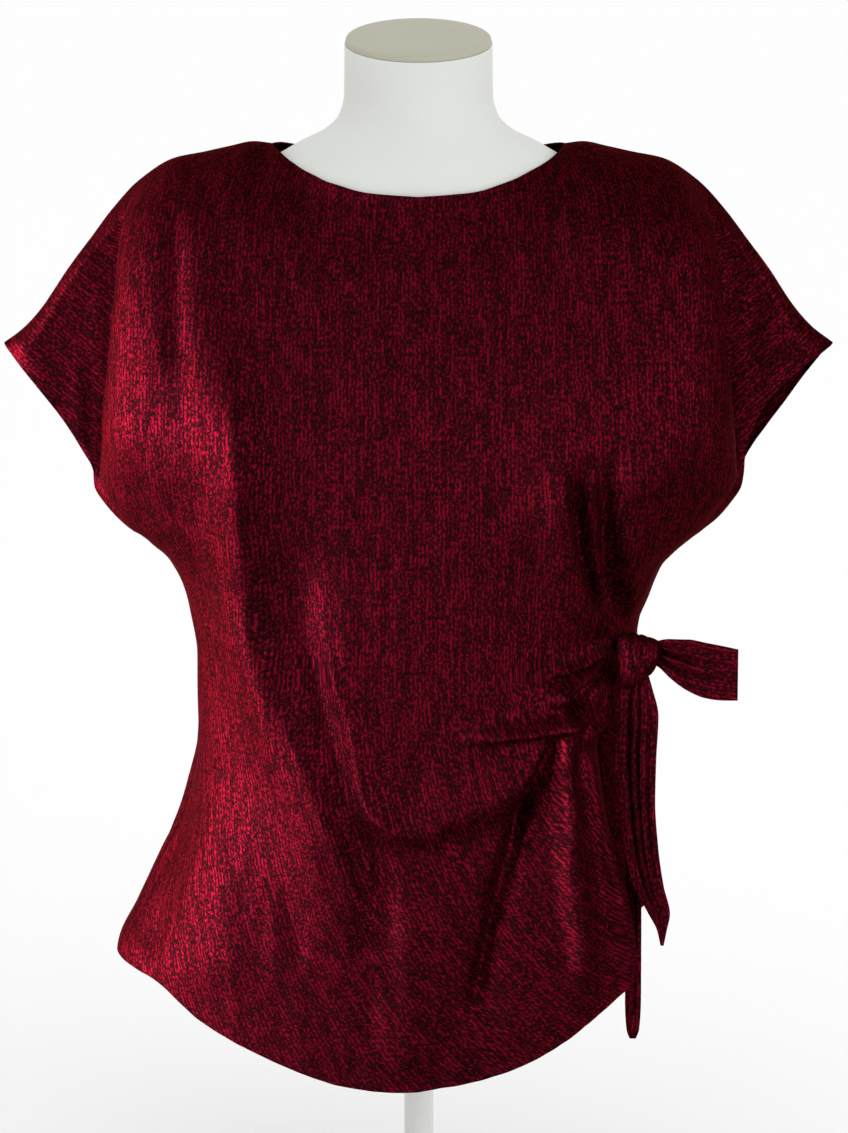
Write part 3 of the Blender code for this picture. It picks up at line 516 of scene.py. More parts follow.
def keep_off(points, clearance):
    """Moves each point that is nearer the form than the clearance out along the slope of form_value."""
    step = 0.0004
    for _ in range(5):
        value = form_value(points)
        moves = [np.eye(3)[i] * step for i in range(3)]
        slope = [(form_value(points + m) - form_value(points - m)) / (2 * step) for m in moves]
        slope = np.stack(slope, axis=-1)
        steep = np.linalg.norm(slope, axis=-1)
        short = np.clip(clearance - value / steep, 0.0, 0.02)
        points = points + slope * (short / steep)[..., None]
    return points


def corners(grid):
    """The four corners of each cell of a grid, in turn round it."""
    return np.stack([grid[:-1, :-1], grid[1:, :-1], grid[1:, 1:], grid[:-1, 1:]], axis=2)


def border(grid):
    """The edge of a grid, once round."""
    return np.concatenate([grid[0, :-1], grid[:-1, -1], grid[-1, :0:-1], grid[:0:-1, 0]])


def new_object(name, data):
    obj = bpy.data.objects.new(name, data)
    bpy.context.scene.collection.objects.link(obj)
    return obj


def add_mesh(name, points, faces, uv, material, smooth_angle=50.0):
    """A mesh object from arrays: points, faces of any one width, and a UV pair for each corner."""
    mesh = bpy.data.meshes.new(name)
    sizes = np.concatenate([np.full(len(f), f.shape[1]) for f in faces])
    loops = np.concatenate([f.reshape(-1) for f in faces])
    mesh.vertices.add(len(points))
    mesh.vertices.foreach_set("co", points.astype(np.float32).reshape(-1))
    mesh.loops.add(len(loops))
    mesh.loops.foreach_set("vertex_index", loops.astype(np.int32))
    mesh.polygons.add(len(sizes))
    mesh.polygons.foreach_set("loop_start", (np.cumsum(sizes) - sizes).astype(np.int32))
    mesh.update(calc_edges=True)
    if uv is not None:
        layer = mesh.uv_layers.new(name="grain")
        layer.data.foreach_set("uv", np.concatenate([u.reshape(-1) for u in uv]).astype(np.float32))
    mesh.polygons.foreach_set("use_smooth", np.ones(len(sizes), bool))
    mesh.set_sharp_from_angle(angle=math.radians(smooth_angle))
    mesh.materials.append(material)
    obj = new_object(name, mesh)
    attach(obj, "root")
    return obj


def shell_mesh(name, outer, inner, uv, flip, material):
    """Closed cloth: the outer grid, the inner grid turned round, and a strip that joins their edges."""
    rows, columns = outer.shape[:2]
    count = rows * columns
    index = np.arange(count).reshape(rows, columns)
    skin, skin_uv = corners(index).reshape(-1, 4), uv.reshape(-1, 4, 2)
    edge = border(index)
    after = np.roll(edge, -1)
    wall = np.stack([edge, after, after + count, edge + count], axis=1)
    plain = np.zeros((rows * columns, 2))
    plain[index[:-1, :-1].reshape(-1)] = uv[:, :, 0].reshape(-1, 2)
    plain[index[-1, :-1]] = uv[-1, :, 1]
    plain[index[:-1, -1]] = uv[:, -1, 3]
    plain[index[-1, -1]] = uv[-1, -1, 2]
    wall_uv = plain[wall % count]
    faces = [skin, skin[:, ::-1] + count, wall]
    uvs = [skin_uv, skin_uv[:, ::-1], wall_uv]
    if flip:
        faces = [f[:, ::-1] for f in faces]
        uvs = [u[:, ::-1] for u in uvs]
    points = np.concatenate([outer.reshape(-1, 3), inner.reshape(-1, 3)])
    return add_mesh(name, points, faces, uvs, material)


def loft_mesh(name, rings, material, uv=None, smooth_angle=40.0):
    """A closed body through rings of points, with a pole in the middle of each end ring."""
    rows, columns = rings.shape[:2]
    index = np.arange(rows * columns).reshape(rows, columns)
    wrapped = np.concatenate([index, index[:, :1]], axis=1)
    skin = corners(wrapped).reshape(-1, 4)
    first, last = rows * columns, rows * columns + 1
    ends = [
        np.stack([np.full(columns, first), wrapped[0, :-1], wrapped[0, 1:]], axis=1),
        np.stack([np.full(columns, last), wrapped[-1, 1:], wrapped[-1, :-1]], axis=1),
    ]
    poles = np.stack([rings[0].mean(axis=0), rings[-1].mean(axis=0)])
    points = np.concatenate([rings.reshape(-1, 3), poles])
    faces = [skin, *ends]
    around = points[skin]
    volume = np.einsum("ij,ij->i", around[:, 0], np.cross(around[:, 1], around[:, 2])).sum()
    volume += np.einsum("ij,ij->i", around[:, 0], np.cross(around[:, 2], around[:, 3])).sum()
    if volume < 0:
        faces = [f[:, ::-1] for f in faces]
    uvs = None
    if uv is not None:
        flat = np.concatenate([uv.reshape(-1, 2), uv[0].mean(axis=0)[None], uv[-1].mean(axis=0)[None]])
        uvs = [flat[f] for f in faces]
    return add_mesh(name, points, faces, uvs, material, smooth_angle)


def once_round(columns):
    """A row of angles."""
    return np.linspace(0.0, 2 * np.pi, columns, endpoint=False)[None, :]


def lathe(profile, columns):
    """Rings of a turned shape: each row of the profile is a radius and a height."""
    angle = once_round(columns)
    radius, height = np.array(profile).T
    x = radius[:, None] * np.cos(angle)
    y = radius[:, None] * np.sin(angle)
    return np.stack([x, y, np.broadcast_to(height[:, None], x.shape)], axis=-1)


class Panel:
    """One panel of the top: its grid of points from the sleeve tips and neck down to the hem."""

    def __init__(self, front, steps):
        self.front = front
        self.name = "front" if front else "back"
        self.sign = -1.0 if front else 1.0
        self.steps = steps
        self.upper, self.lower = FRONT_UNITS if front else BACK_UNITS
        self.neckline = FRONT_NECKLINE if front else BACK_NECKLINE
        self.hem = FRONT_HEM if front else BACK_HEM
        self.right_side = RIGHT_SIDE_FRONT if front else RIGHT_SIDE_BACK
        self.right_end_z = (RIGHT_EDGE_FRONT if front else RIGHT_EDGE_BACK)["z"][0]
        high = np.linspace(0.0, 1.0, steps["upper"] + 1)[:-1] ** 1.3 * self.upper
        low = np.linspace(0.0, 1.0, steps["lower"] + 1)
        if front:
            low = follow(ROW_SPREAD, "share", low)
        self.v = np.append(high, self.upper + self.lower * low)[:, None]

    def depth(self, z):
        return follow(DEPTH, self.name, z)

    def half_width(self, z, right):
        return follow(self.right_side if right else LEFT_SIDE, "half_width", z)

    def edge_turn(self, z, right):
        """How far round the section the panel's edge lies: 0 at a side seam."""
        if not right:
            return np.zeros_like(z)
        if self.front:
            share = follow(RIGHT_EDGE_FRONT, "share", z)
            return np.arccos(np.clip(share, 0.0, 1.0) ** (SECTION_POWER / 2))
        return -np.radians(follow(RIGHT_EDGE_BACK, "turn", z))

    def section(self, z, turn, right):
        """x = width cos(turn)^(2/n), y = depth sin(turn)^(2/n) at this height, for the lower body."""
        power = 2.0 / SECTION_POWER
        wide = self.half_width(z, right)
        deep = np.where(turn < 0, -follow(DEPTH, "front", z) * WRAP_DEPTH, self.depth(z))
        return wide * np.cos(turn) ** power, self.sign * deep * np.abs(np.sin(turn)) ** power

    def top_edge(self, x):
        """Height and depth of the top edge at x: seam outside the neck, neckline inside it."""
        away = np.abs(x)
        inside = away < TOP_SEAM["x"][0]
        seam = follow(TOP_SEAM, "z", away)
        neck = follow(self.neckline, "z", away)
        deep = follow(self.neckline, "y", away)
        return np.where(inside, neck, seam), np.where(inside, self.sign * deep, 0.0)

    def sleeve_side(self, right):
        """One side, from the cuff and side seam in to the fold line. The wing runs straight from the
        cuff to a point behind the fold, then turns forward and out to the fold line."""
        v = self.v
        w = np.linspace(0.0, 1.0, self.steps["sleeve"] + 1)[None, :]
        high = np.clip(v / self.upper, 0.0, 1.0)
        share = 1.0 - (1.0 - WING_SHARE) * smooth_step(high / WING_START)
        wing = np.clip(w / share, 0.0, 1.0)
        turn_out = smooth_step((w - share) / np.maximum(1.0 - share, 1e-6))
        low = np.clip((v - self.upper) / self.lower, 0.0, 1.0)
        move_x, move_z = CUFF_MOVE[self.name, right]
        cuff_x = follow(CUFF, "x", high) + move_x * np.sin(np.pi * high)
        cuff_z = follow(CUFF, "z", high) + move_z * np.sin(np.pi * high)
        cuff_y = SLEEVE_DEPTH * np.sqrt(1.0 - np.abs(2.0 * high - 1.0) ** CUFF_POWER)
        fold_x = follow(SLEEVE_FOLD, "x", high)
        fold_z = follow(SLEEVE_FOLD, "z", high)
        fold_y = follow(SLEEVE_FOLD, self.name, high)
        if self.front:
            fold_y = fold_y + FOLD_FORWARD * np.sin(np.pi * high)
        tuck = WING_TUCK * smooth_step(high / TUCK_FADE[0]) * smooth_step((1.0 - high) / TUCK_FADE[1])
        x = cuff_x + (fold_x - tuck - cuff_x) * wing + tuck * turn_out
        z = cuff_z + (fold_z - cuff_z) * wing
        top_x, straight = (TIP[i] + (SHOULDER[i] - TIP[i]) * wing for i in (0, 1))
        top_z = follow(TOP_SEAM, "z", top_x)
        z = z + (top_z - straight) * (1 - high) ** 1.5
        flat = cuff_y + (SLEEVE_DEPTH - cuff_y) * smooth_step(wing * CUFF_FLARE)
        round_over = np.sqrt(1 - (1 - np.clip((top_z - z) / SLEEVE_ROUND, 0, 1)) ** 2)
        flat = flat * np.where(w > 0, round_over, 1.0)
        # Near the fold the wing stays behind it
        flat = np.minimum(flat, WING_BEHIND * fold_y + SLEEVE_DEPTH * (1.0 - smooth_step(wing)))
        flat = np.maximum(flat, 0.0)
        y = flat + (fold_y - flat) * turn_out
        side_z0 = CUFF["z"][-1]
        end_z = self.right_end_z if right else self.hem["z"][0]
        edge_z = side_z0 + (end_z - side_z0) * low
        turn0 = self.edge_turn(edge_z, right)
        turn = turn0 + (np.maximum(turn0 + LEAST_TURN, SIDE_TURN) - turn0) * w
        body_x, body_y = self.section(edge_z, turn, right)
        sign = 1.0 if right else -1.0
        hem_z = follow(self.hem, "z", sign * body_x[-1:, :])
        hem_z = np.where(turn[-1:] < 0, edge_z[-1, 0], hem_z)
        body_z = edge_z + (hem_z - edge_z[-1, 0]) * low
        mix = np.where(v <= self.upper, 0.0, smooth_step((v - self.upper) / SIDE_BLEND))
        below = self.half_width(edge_z, right) - self.half_width(side_z0, right)
        x = x + np.where(v > self.upper, below, 0.0)
        x = x + (body_x - x) * mix
        y = self.sign * y + (body_y - self.sign * y) * mix
        z = np.where(v <= self.upper, z, body_z + (z - side_z0) * (1 - low) ** 4)
        return np.stack([sign * x, y, z], axis=-1)

    def points(self):
        """The whole outer grid, before folds: across the body, depth times (1 - share^n)^(1/n)."""
        left = self.sleeve_side(False)
        right = self.sleeve_side(True)[:, ::-1]
        v = self.v / self.v[-1]
        q = np.linspace(0.0, 1.0, self.steps["body"] + 1)[None, :]
        if self.front:
            q = follow(COLUMN_SPREAD, "share", q)
        fold_left, fold_right = left[:, -1:], right[:, :1]
        x = fold_left[..., 0] + (fold_right[..., 0] - fold_left[..., 0]) * q
        corner = TOP_SEAM["x"][0]
        near = np.argmin(np.abs(x[0][:, None] - np.array([[-corner, corner]])), axis=0)
        target = x[0].copy()
        target[near] = -corner, corner
        x = x + (target - x[0]) * (1 - v) ** 2
        top_z, top_y = self.top_edge(x[0])
        z = (1 - v) * top_z + v * follow(self.hem, "z", x[-1])
        for side, share in ((fold_left[..., 2], 1 - q), (fold_right[..., 2], q)):
            z = z + share * (side - (1 - v) * side[0] - v * side[-1])
        wide = np.where(x > 0, self.half_width(z, True), self.half_width(z, False))
        deep = self.depth(z)
        share = np.clip(np.abs(x) / wide, 0.0, 1.0)
        lower = deep * (1 - share**SECTION_POWER) ** (1 / SECTION_POWER)
        c = 2 * q - 1
        side_y = np.abs(np.where(c < 0, fold_left[..., 1], fold_right[..., 1]))
        upper = side_y + (deep - side_y) * np.sqrt(1 - np.abs(c) ** ACROSS_POWER[self.name])
        y = upper + (lower - upper) * smooth_step((self.v - self.upper + 2) / BODY_BLEND)
        drop = np.clip((top_z - z) / SHOULDER_ROUND, 0, 1)
        y = np.abs(top_y) + (y - np.abs(top_y)) * np.sqrt(1 - (1 - drop) ** 2)
        body = np.stack([x, self.sign * y, z], axis=-1)
        return np.concatenate([left, body[:, 1:-1], right], axis=1)

    def seam_mask(self, points):
        """Where the panel is sewn: the shoulder and sleeve seam, and the side seams."""
        sewn = np.zeros(points.shape[:2], bool)
        below = self.v[:, 0] >= self.upper
        sewn[0] = np.abs(points[0, :, 0]) > TOP_SEAM["x"][0] - 1e-6
        sewn[below, 0] = True
        sewn[below, -1] = points[below, -1, 2] >= RIGHT_EDGE_BACK["z"][-1]
        return sewn

    def outward(self, points):
        normal = normals_of(points)
        return normal if np.mean(normal[..., 1] * self.sign) > 0 else -normal

    def seam_fade(self, points, sewn):
        """0 at a seam, rising to 1 over SEAM_FADE."""
        seam = points[sewn][::3]
        away = np.stack([np.linalg.norm(row[:, None] - seam, axis=2).min(axis=1) for row in points])
        return smooth_step(away / SEAM_FADE)

    def grain(self, base):
        """UV in metres: u across the threads, v along them. The threads are upright on the body. Below
        the knot on the front they are arcs round it. On a sleeve they stand square to its top edge."""
        across = np.linalg.norm(np.diff(base, axis=1), axis=2)
        run = np.concatenate([np.zeros((len(base), 1)), np.cumsum(across, axis=1)], axis=1)
        middle = base.shape[1] // 2
        u = run - run[:, middle : middle + 1] + base[:, middle : middle + 1, 0]
        down = np.diff(base, axis=0)
        extra = np.linalg.norm(down[..., 1:], axis=2) - np.abs(down[..., 2])
        extra = np.concatenate([np.zeros((1, base.shape[1])), np.cumsum(extra, axis=0)])
        level = int(np.argmin(np.abs(base[:, middle, 2] - GRAIN_LEVEL)))
        v = base[..., 2] - (extra - extra[level])
        if self.front:
            row = int(np.argmin(np.abs(base[:, middle, 2] - KNOT_HEIGHT)))
            side = u[row, -1] - u
            below = np.clip(KNOT_HEIGHT - base[..., 2], 0.0, None) * THREAD_SQUEEZE
            reach = np.hypot(side, below)
            turn = np.arctan2(below, side)
            round_knot = below > 0
            u = np.where(round_knot, u[row, -1] - reach, u)
            v = np.where(round_knot, v[row] - reach * turn / THREAD_SQUEEZE, v)
        for _ in range(GRAIN_ROUNDS):
            u, v = (soften(soften(a, 0), 1) for a in (u, v))
        body = corners(np.stack([u, v], axis=-1))
        along = (TIP - SHOULDER) / np.linalg.norm(TIP - SHOULDER)
        flat = np.stack([np.abs(base[..., 0]), base[..., 2]], axis=-1) - SHOULDER
        wing_u = SHOULDER[0] + flat @ along
        wing_v = SHOULDER[1] + flat @ np.array([-along[1], along[0]])
        wing = corners(np.stack([wing_u * np.sign(base[..., 0]), wing_v], axis=-1))
        columns = np.arange(base.shape[1] - 1)
        width = int(self.steps["sleeve"] * WING_SHARE)
        in_wing = (columns < width) | (columns >= base.shape[1] - 1 - width)
        above = self.v[:-1, 0] < self.upper
        return np.where((above[:, None] & in_wing[None, :])[..., None, None], wing, body)

    def build(self, folds, wall, material):
        base = self.points()
        sewn = self.seam_mask(base)
        base[sewn, 1] = -self.sign * SEAM_OVERLAP / 2
        uv = self.grain(base)
        fade = self.seam_fade(base, sewn)
        height = fold_height(folds, base[..., 0], base[..., 2]) + ripple(base[..., 0], base[..., 2])
        base = base + self.outward(base) * (height * fade)[..., None]
        base = keep_off(base, FORM_CLEARANCE)
        base[sewn, 1] = -self.sign * SEAM_OVERLAP / 2
        normal = self.outward(base)
        normal[sewn, 1] = 0.0
        normal /= np.maximum(np.linalg.norm(normal, axis=2, keepdims=True), 1e-12)
        return shell_mesh(self.name + "_panel", base, base - wall * normal, uv, not self.front, material)


def grooves_at(grooves, s):
    """Sum of the grooves across a tie: each is its depth times exp(-((s - place) / width) squared)."""
    return sum(depth * np.exp(-(((s - place) / width) ** 2)) for place, depth, width in grooves)


def tie(name, rows, count, grooves, wall, material):
    """A pressed strip, from the knot outwards: centre + side * s * width / 2, which bulges forward by
    cos(s * pi / 2) and is cut by grooves."""
    key = next(iter(rows))
    upright = key == "z"
    along = np.linspace(*rows[key][[-1, 0] if upright else [0, -1]], count)
    low, high, y, depths = (follow(rows, column, along) for column in ("low", "high", "y", "pleat"))
    widths = high - low
    centres = np.stack([(low + high) / 2, y, along] if upright else [along, y, (low + high) / 2], axis=1)
    side = np.array([1.0, 0.0, 0.0] if upright else [0.0, 0.0, 1.0])
    forward = np.array([0.0, -1.0, 0.0])
    s = np.linspace(-1.0, 1.0, 41)[None, :]
    out = depths[:, None] * (TIE_BULGE * np.cos(s * np.pi / 2) - grooves_at(grooves, s))
    outer = centres[:, None, :] + side * (s * widths[:, None] / 2)[..., None]
    outer = outer + forward * (out + TIE_LIFT)[..., None]
    inner = outer - forward * wall * TIE_LAYERS
    run = np.concatenate([[0.0], np.cumsum(np.linalg.norm(np.diff(centres, axis=0), axis=1))])
    uv = np.stack(np.broadcast_arrays(s * widths[:, None] / 2, run[:, None]), axis=-1)
    flip = np.cross(centres[-1] - centres[0], side) @ forward < 0
    return shell_mesh(name, outer, inner, corners(uv), flip, material)


def add(tree, kind, settings=None, sockets=None, stops=None):
    """One shader node: its settings by name, its sockets by name or number as values or links, and for
    a colour ramp its stops."""
    node = tree.nodes.new("ShaderNode" + kind)
    for name, value in (settings or {}).items():
        setattr(node, name, value)
    for name, value in (sockets or {}).items():
        if isinstance(value, bpy.types.NodeSocket):
            tree.links.new(value, node.inputs[name])
        else:
            node.inputs[name].default_value = value
    for i, (place, colour) in enumerate(stops or []):
        marks = node.color_ramp.elements
        mark = marks[i] if i < len(marks) else marks.new(place)
        mark.position, mark.color = place, (*colour, 1.0)
    return node


def new_material(name):
    material = bpy.data.materials.new(name)
    material.use_nodes = True
    material.node_tree.nodes.clear()
    return material, material.node_tree


def crinkle_cloth(cloth):
    """Crinkled stretch knit with fine red metallised threads. Upright lines of stitches, broken into
    dashes of bright thread, stand over a nearly black red ground, so the cloth glitters where a light
    reaches it and is dark elsewhere."""
    material, tree = new_material("crinkle_glitter_knit")
    grain = add(tree, "UVMap", {"uv_map": "grain"}).outputs["UV"]
    flat = {"noise_dimensions": "2D"}

    def maths(operation, *values, kind="Math", **settings):
        """Result of one maths node on these values and sockets"""
        return add(tree, kind, {"operation": operation, **settings}, dict(enumerate(values))).outputs[0]

    # Lines wander a little: their places are moved by slow noise
    drift = add(tree, "TexNoise", flat, {"Vector": grain, "Scale": 75.0, "Detail": 2.5}).outputs["Color"]
    steps = (1 / cloth.thread, 1 / cloth.stitch, 1.0)
    scaled = add(tree, "Mapping", {}, {"Vector": grain, "Scale": steps}).outputs["Vector"]
    placed = maths("MULTIPLY_ADD", drift, (0.8, 1.2, 0.0), scaled, kind="VectorMath")
    # Each line of stitches starts its dashes at its own height
    line = maths("FLOOR", placed, kind="VectorMath")
    line = maths("MULTIPLY", line, (1.0, 0.0, 0.0), kind="VectorMath")
    start = add(tree, "TexWhiteNoise", flat, {"Vector": line}).outputs["Value"]
    start = add(tree, "CombineXYZ", {}, {"Y": start}).outputs[0]
    cells = maths("ADD", placed, start, kind="VectorMath")
    dash = maths("FLOOR", cells, kind="VectorMath")
    chance = add(tree, "TexWhiteNoise", flat, {"Vector": dash}).outputs["Value"]
    inside = maths("FRACTION", cells, kind="VectorMath")
    inside = add(tree, "SeparateXYZ", {}, {"Vector": inside})
    # Thin bright line in the middle of its dark gap: 1 - 0.9 (2 x - 1) squared, and never below 0
    away = maths("MULTIPLY_ADD", inside.outputs["X"], 2.0, -1.0)
    line = maths("MULTIPLY", away, away)
    line = maths("MULTIPLY_ADD", line, -0.9, 1.0, use_clamp=True)
    # Seven stitches in a dash
    stitch = maths("MULTIPLY", inside.outputs["Y"], 2 * math.pi * 7)
    stitch = maths("SINE", stitch)
    # Short upright flecks, about 1.7 mm wide and 3 mm long
    fleck = add(tree, "Mapping", {}, {"Vector": grain, "Scale": (600.0, 330.0, 1.0)}).outputs["Vector"]
    specks = {"Vector": fleck, "Scale": 1.0, "Detail": 1.5, "Roughness": 0.7}
    specks = add(tree, "TexNoise", flat, specks).outputs["Fac"]
    patches = add(tree, "TexNoise", flat, {"Vector": grain, "Scale": 110.0, "Detail": 2.0}).outputs["Fac"]
    bright = maths("MULTIPLY_ADD", chance, 0.75, -0.05)
    bright = maths("MULTIPLY_ADD", stitch, 0.20, bright)
    bright = maths("MULTIPLY_ADD", patches, 0.5, bright)
    lit = maths("MULTIPLY", line, bright)
    lit = maths("MULTIPLY_ADD", specks, 3.4, lit)
    level = add(tree, "MapRange", {}, {"Value": lit, "From Min": 1.60, "From Max": 2.75}).outputs[0]
    colour = add(
        tree, "ValToRGB", {}, {"Fac": level},
        [(0.0, cloth.ground), (0.40, cloth.body), (0.75, cloth.bright), (1.0, cloth.spark)],
    ).outputs["Color"]
    rough = add(tree, "MapRange", {}, {"Value": level, "To Min": 0.70, "To Max": 0.60}).outputs[0]
    relief = add(tree, "Bump", {}, {"Height": level, "Strength": 0.22, "Distance": 0.0006}).outputs[0]
    shader = add(
        tree, "BsdfPrincipled", {},
        {
            "Base Color": colour, "Roughness": rough, "Normal": relief, "Metallic": 0.95,
            "Specular Tint": (0.6, 0.05, 0.12, 1.0), "Specular IOR Level": 0.2, "IOR": 1.5,
        },
    )
    add(tree, "OutputMaterial", {}, {"Surface": shader.outputs["BSDF"]})
    return material


def moulded_plastic(name, colour, roughness, grit, relief, wear=0.93):
    """Matte moulded or painted surface: a fine grit in its gloss and relief, with faint wide clouds in
    its colour from handling."""
    material, tree = new_material(name)
    place = add(tree, "TexCoord").outputs["Object"]
    fine = add(tree, "TexNoise", {}, {"Vector": place, "Scale": grit, "Detail": 3.0}).outputs["Fac"]
    clouds = add(tree, "TexNoise", {}, {"Vector": place, "Scale": 9.0, "Detail": 2.0}).outputs["Fac"]
    tint = add(
        tree, "ValToRGB", {}, {"Fac": clouds},
        [(0.25, tuple(wear * c for c in colour)), (0.75, tuple(colour))],
    ).outputs["Color"]
    gloss = add(
        tree, "MapRange", {}, {"Value": fine, "To Min": roughness - 0.06, "To Max": roughness + 0.08}
    ).outputs[0]
    bump = add(tree, "Bump", {}, {"Height": fine, "Strength": 0.25, "Distance": relief}).outputs[0]
    shader = add(
        tree, "BsdfPrincipled", {},
        {"Base Color": tint, "Roughness": gloss, "Normal": bump, "IOR": 1.49, "Specular IOR Level": 0.4},
    )
    add(tree, "OutputMaterial", {}, {"Surface": shader.outputs["BSDF"]})
    return material


def cloth_material(scene):
    return bpy.data.materials.get("crinkle_glitter_knit") or crinkle_cloth(scene.top_cloth)


class TOP_OT_front(bpy.types.Operator):
    """Front of the top, cut in one with its sleeves and gathered into the knot"""

    bl_idname = "top.front"
    bl_label = "Front"

    def execute(self, context):
        scene = context.scene
        panel = Panel(True, FRONT_STEPS)
        front = panel.build(FRONT_FOLDS + FINE_FOLDS, scene.top_cloth.wall, cloth_material(scene))
        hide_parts("front")
        return {"FINISHED"}


class TOP_OT_back(bpy.types.Operator):
    """Back of the top, cut in one with its sleeves"""

    bl_idname = "top.back"
    bl_label = "Back"

    def execute(self, context):
        scene = context.scene
        back = Panel(False, BACK_STEPS).build(BACK_FOLDS, scene.top_cloth.wall, cloth_material(scene))
        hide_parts("back")
        return {"FINISHED"}


class TOP_OT_ties(bpy.types.Operator):
    """Knot, the short end that points to the side, and the two tails that hang from it"""

    bl_idname = "top.ties"
    bl_label = "Knot and ties"

    def execute(self, context):
        scene = context.scene
        cloth, wall = cloth_material(scene), scene.top_cloth.wall
        knot = self.knot(cloth)
        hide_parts("knot")
        side = tie("tie_end", SIDE_END, 40, SIDE_END_GROOVES, wall, cloth)
        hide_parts("tie_end_side")
        for name, node, rows, grooves, flat in (
            ("tie_tail_wide", "tie_tail_front", FRONT_TAIL, FRONT_TAIL_GROOVES, (0.032, 0.205)),
            ("tie_tail_narrow", "tie_tail_rear", REAR_TAIL, REAR_TAIL_GROOVES, (0.014, 0.266)),
        ):
            tail = tie(name, rows, 90, grooves, wall, cloth)
            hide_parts(node)
        return {"FINISHED"}

    def knot(self, cloth):
        """A wound band: ellipses in y and z that follow the heights and depths of KNOT_SHAPE, cut by
        grooves that run aslant round it, then leaned over."""
        s = np.sin(np.linspace(-0.5, 0.5, 50) * np.pi)[1:-1, None]
        angle = once_round(96)
        twist = s + 0.30 * np.sin(angle)
        cut = 1 - grooves_at(KNOT_GROOVES, twist) * (0.35 + 0.65 * np.cos(angle) ** 2)
        top, bottom, depth = (follow(KNOT_SHAPE, key, s) for key in ("top", "bottom", "depth"))
        x = KNOT_SIZE * s + 0.0 * angle
        y = -depth * cut * np.cos(angle)
        z = (top + bottom) / 2 + (top - bottom) / 2 * cut * np.sin(angle)
        lean_x = x * math.cos(KNOT_LEAN) + z * math.sin(KNOT_LEAN)
        lean_z = z * math.cos(KNOT_LEAN) - x * math.sin(KNOT_LEAN)
        rings = np.stack([lean_x, y, lean_z], axis=-1) + np.array(KNOT_CENTRE)
        uv = np.stack(np.broadcast_arrays(s * KNOT_SIZE, angle * 0.02), axis=-1)
        return loft_mesh("knot_wrap", rings, cloth, uv, 80.0)


class TOP_OT_form(bpy.types.Operator):
    """Limbless moulded dress form with the flat cap on its neck"""

    bl_idname = "top.form"
    bl_label = "Dress form"

    def execute(self, context):
        colours = context.scene.top_form
        # Moulded ABS with a matte skin: even, slightly warm white with a soft wide highlight
        plastic = moulded_plastic("moulded_matte_abs", colours.shell, 0.55, 900.0, 0.0001)
        angle = once_round(FORM_COLUMNS)
        z = np.linspace(FORM_BOTTOM, NECK_TOP, 190)[:, None]
        rings = form_points(z + 0.0 * angle, angle + 0.0 * z)
        form = loft_mesh("form_body", self.rounded(rings), plastic, None, 60.0)
        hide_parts("dress_form")
        # Pressed cap of the neck: a little darker and warmer than the form
        paint = moulded_plastic("moulded_cap_abs", colours.cap, 0.5, 700.0, 0.0001)
        rim = form_points(np.full_like(angle, NECK_TOP), angle)[0] * np.array([0.985, 0.985, 1.0])
        rings = [self.slanted(rim, scale, RIGID_GAP + height * NECK_CAP) for scale, height in CAP_RINGS]
        cap = loft_mesh("form_cap", np.array(rings), paint, None, 60.0)
        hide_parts("form_neck_cap")
        return {"FINISHED"}

    def slanted(self, ring, scale, lift):
        """A ring made smaller, at the height of the neck's slanted top and the lift above it."""
        x, y = scale * ring[:, 0], scale * ring[:, 1]
        return np.stack([x, y, NECK_TOP + NECK_TILT * y + lift], axis=-1)

    def rounded(self, rings):
        """Rings with the bottom edge rounded over and both ends drawn in towards their poles."""
        foot = [rings[0] * np.array([k, k, 1.0]) + np.array([0, 0, lift]) for k, lift in FOOT_RINGS]
        head = [self.slanted(rings[-1], scale, 0.0) for scale in HEAD_RINGS]
        start = int(np.searchsorted(rings[:, 0, 2], FORM_BOTTOM + FOOT_ROUND))
        return np.concatenate([foot, rings[start:], head])


class TOP_OT_stand(bpy.types.Operator):
    """Painted pole and round base"""

    bl_idname = "top.stand"
    bl_label = "Stand"

    def execute(self, context):
        # Powder-coated steel: satin white with a faint orange-peel relief
        paint = moulded_plastic("powder_coated_steel", context.scene.top_form.stand, 0.36, 320.0, 0.0002)
        low, high = BASE_THICKNESS + RIGID_GAP, FORM_BOTTOM - RIGID_GAP
        r = POLE_RADIUS
        cut = 0.0006
        foot, head = [(r - cut, low), (r, low + cut)], [(r, high - cut), (r - cut, high)]
        pole = lathe([(0.3 * r, low), *foot, *head, (0.3 * r, high)], 64)
        pole = loft_mesh("stand_tube", pole, paint, None, 60.0)
        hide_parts("stand_pole")
        turn = np.linspace(0.0, np.pi / 2, 8)
        r, edge = BASE_RADIUS, BASE_EDGE
        top = [(r - edge + edge * math.cos(t), BASE_THICKNESS - edge + edge * math.sin(t)) for t in turn]
        foot = [(0.3 * r, 0.0), (r - 0.001, 0.0), (r, 0.001)]
        base = lathe([*foot, *top, (0.3 * r, BASE_THICKNESS)], 128)
        base = loft_mesh("stand_plate", base, paint, None, 60.0)
        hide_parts("stand_base")
        return {"FINISHED"}


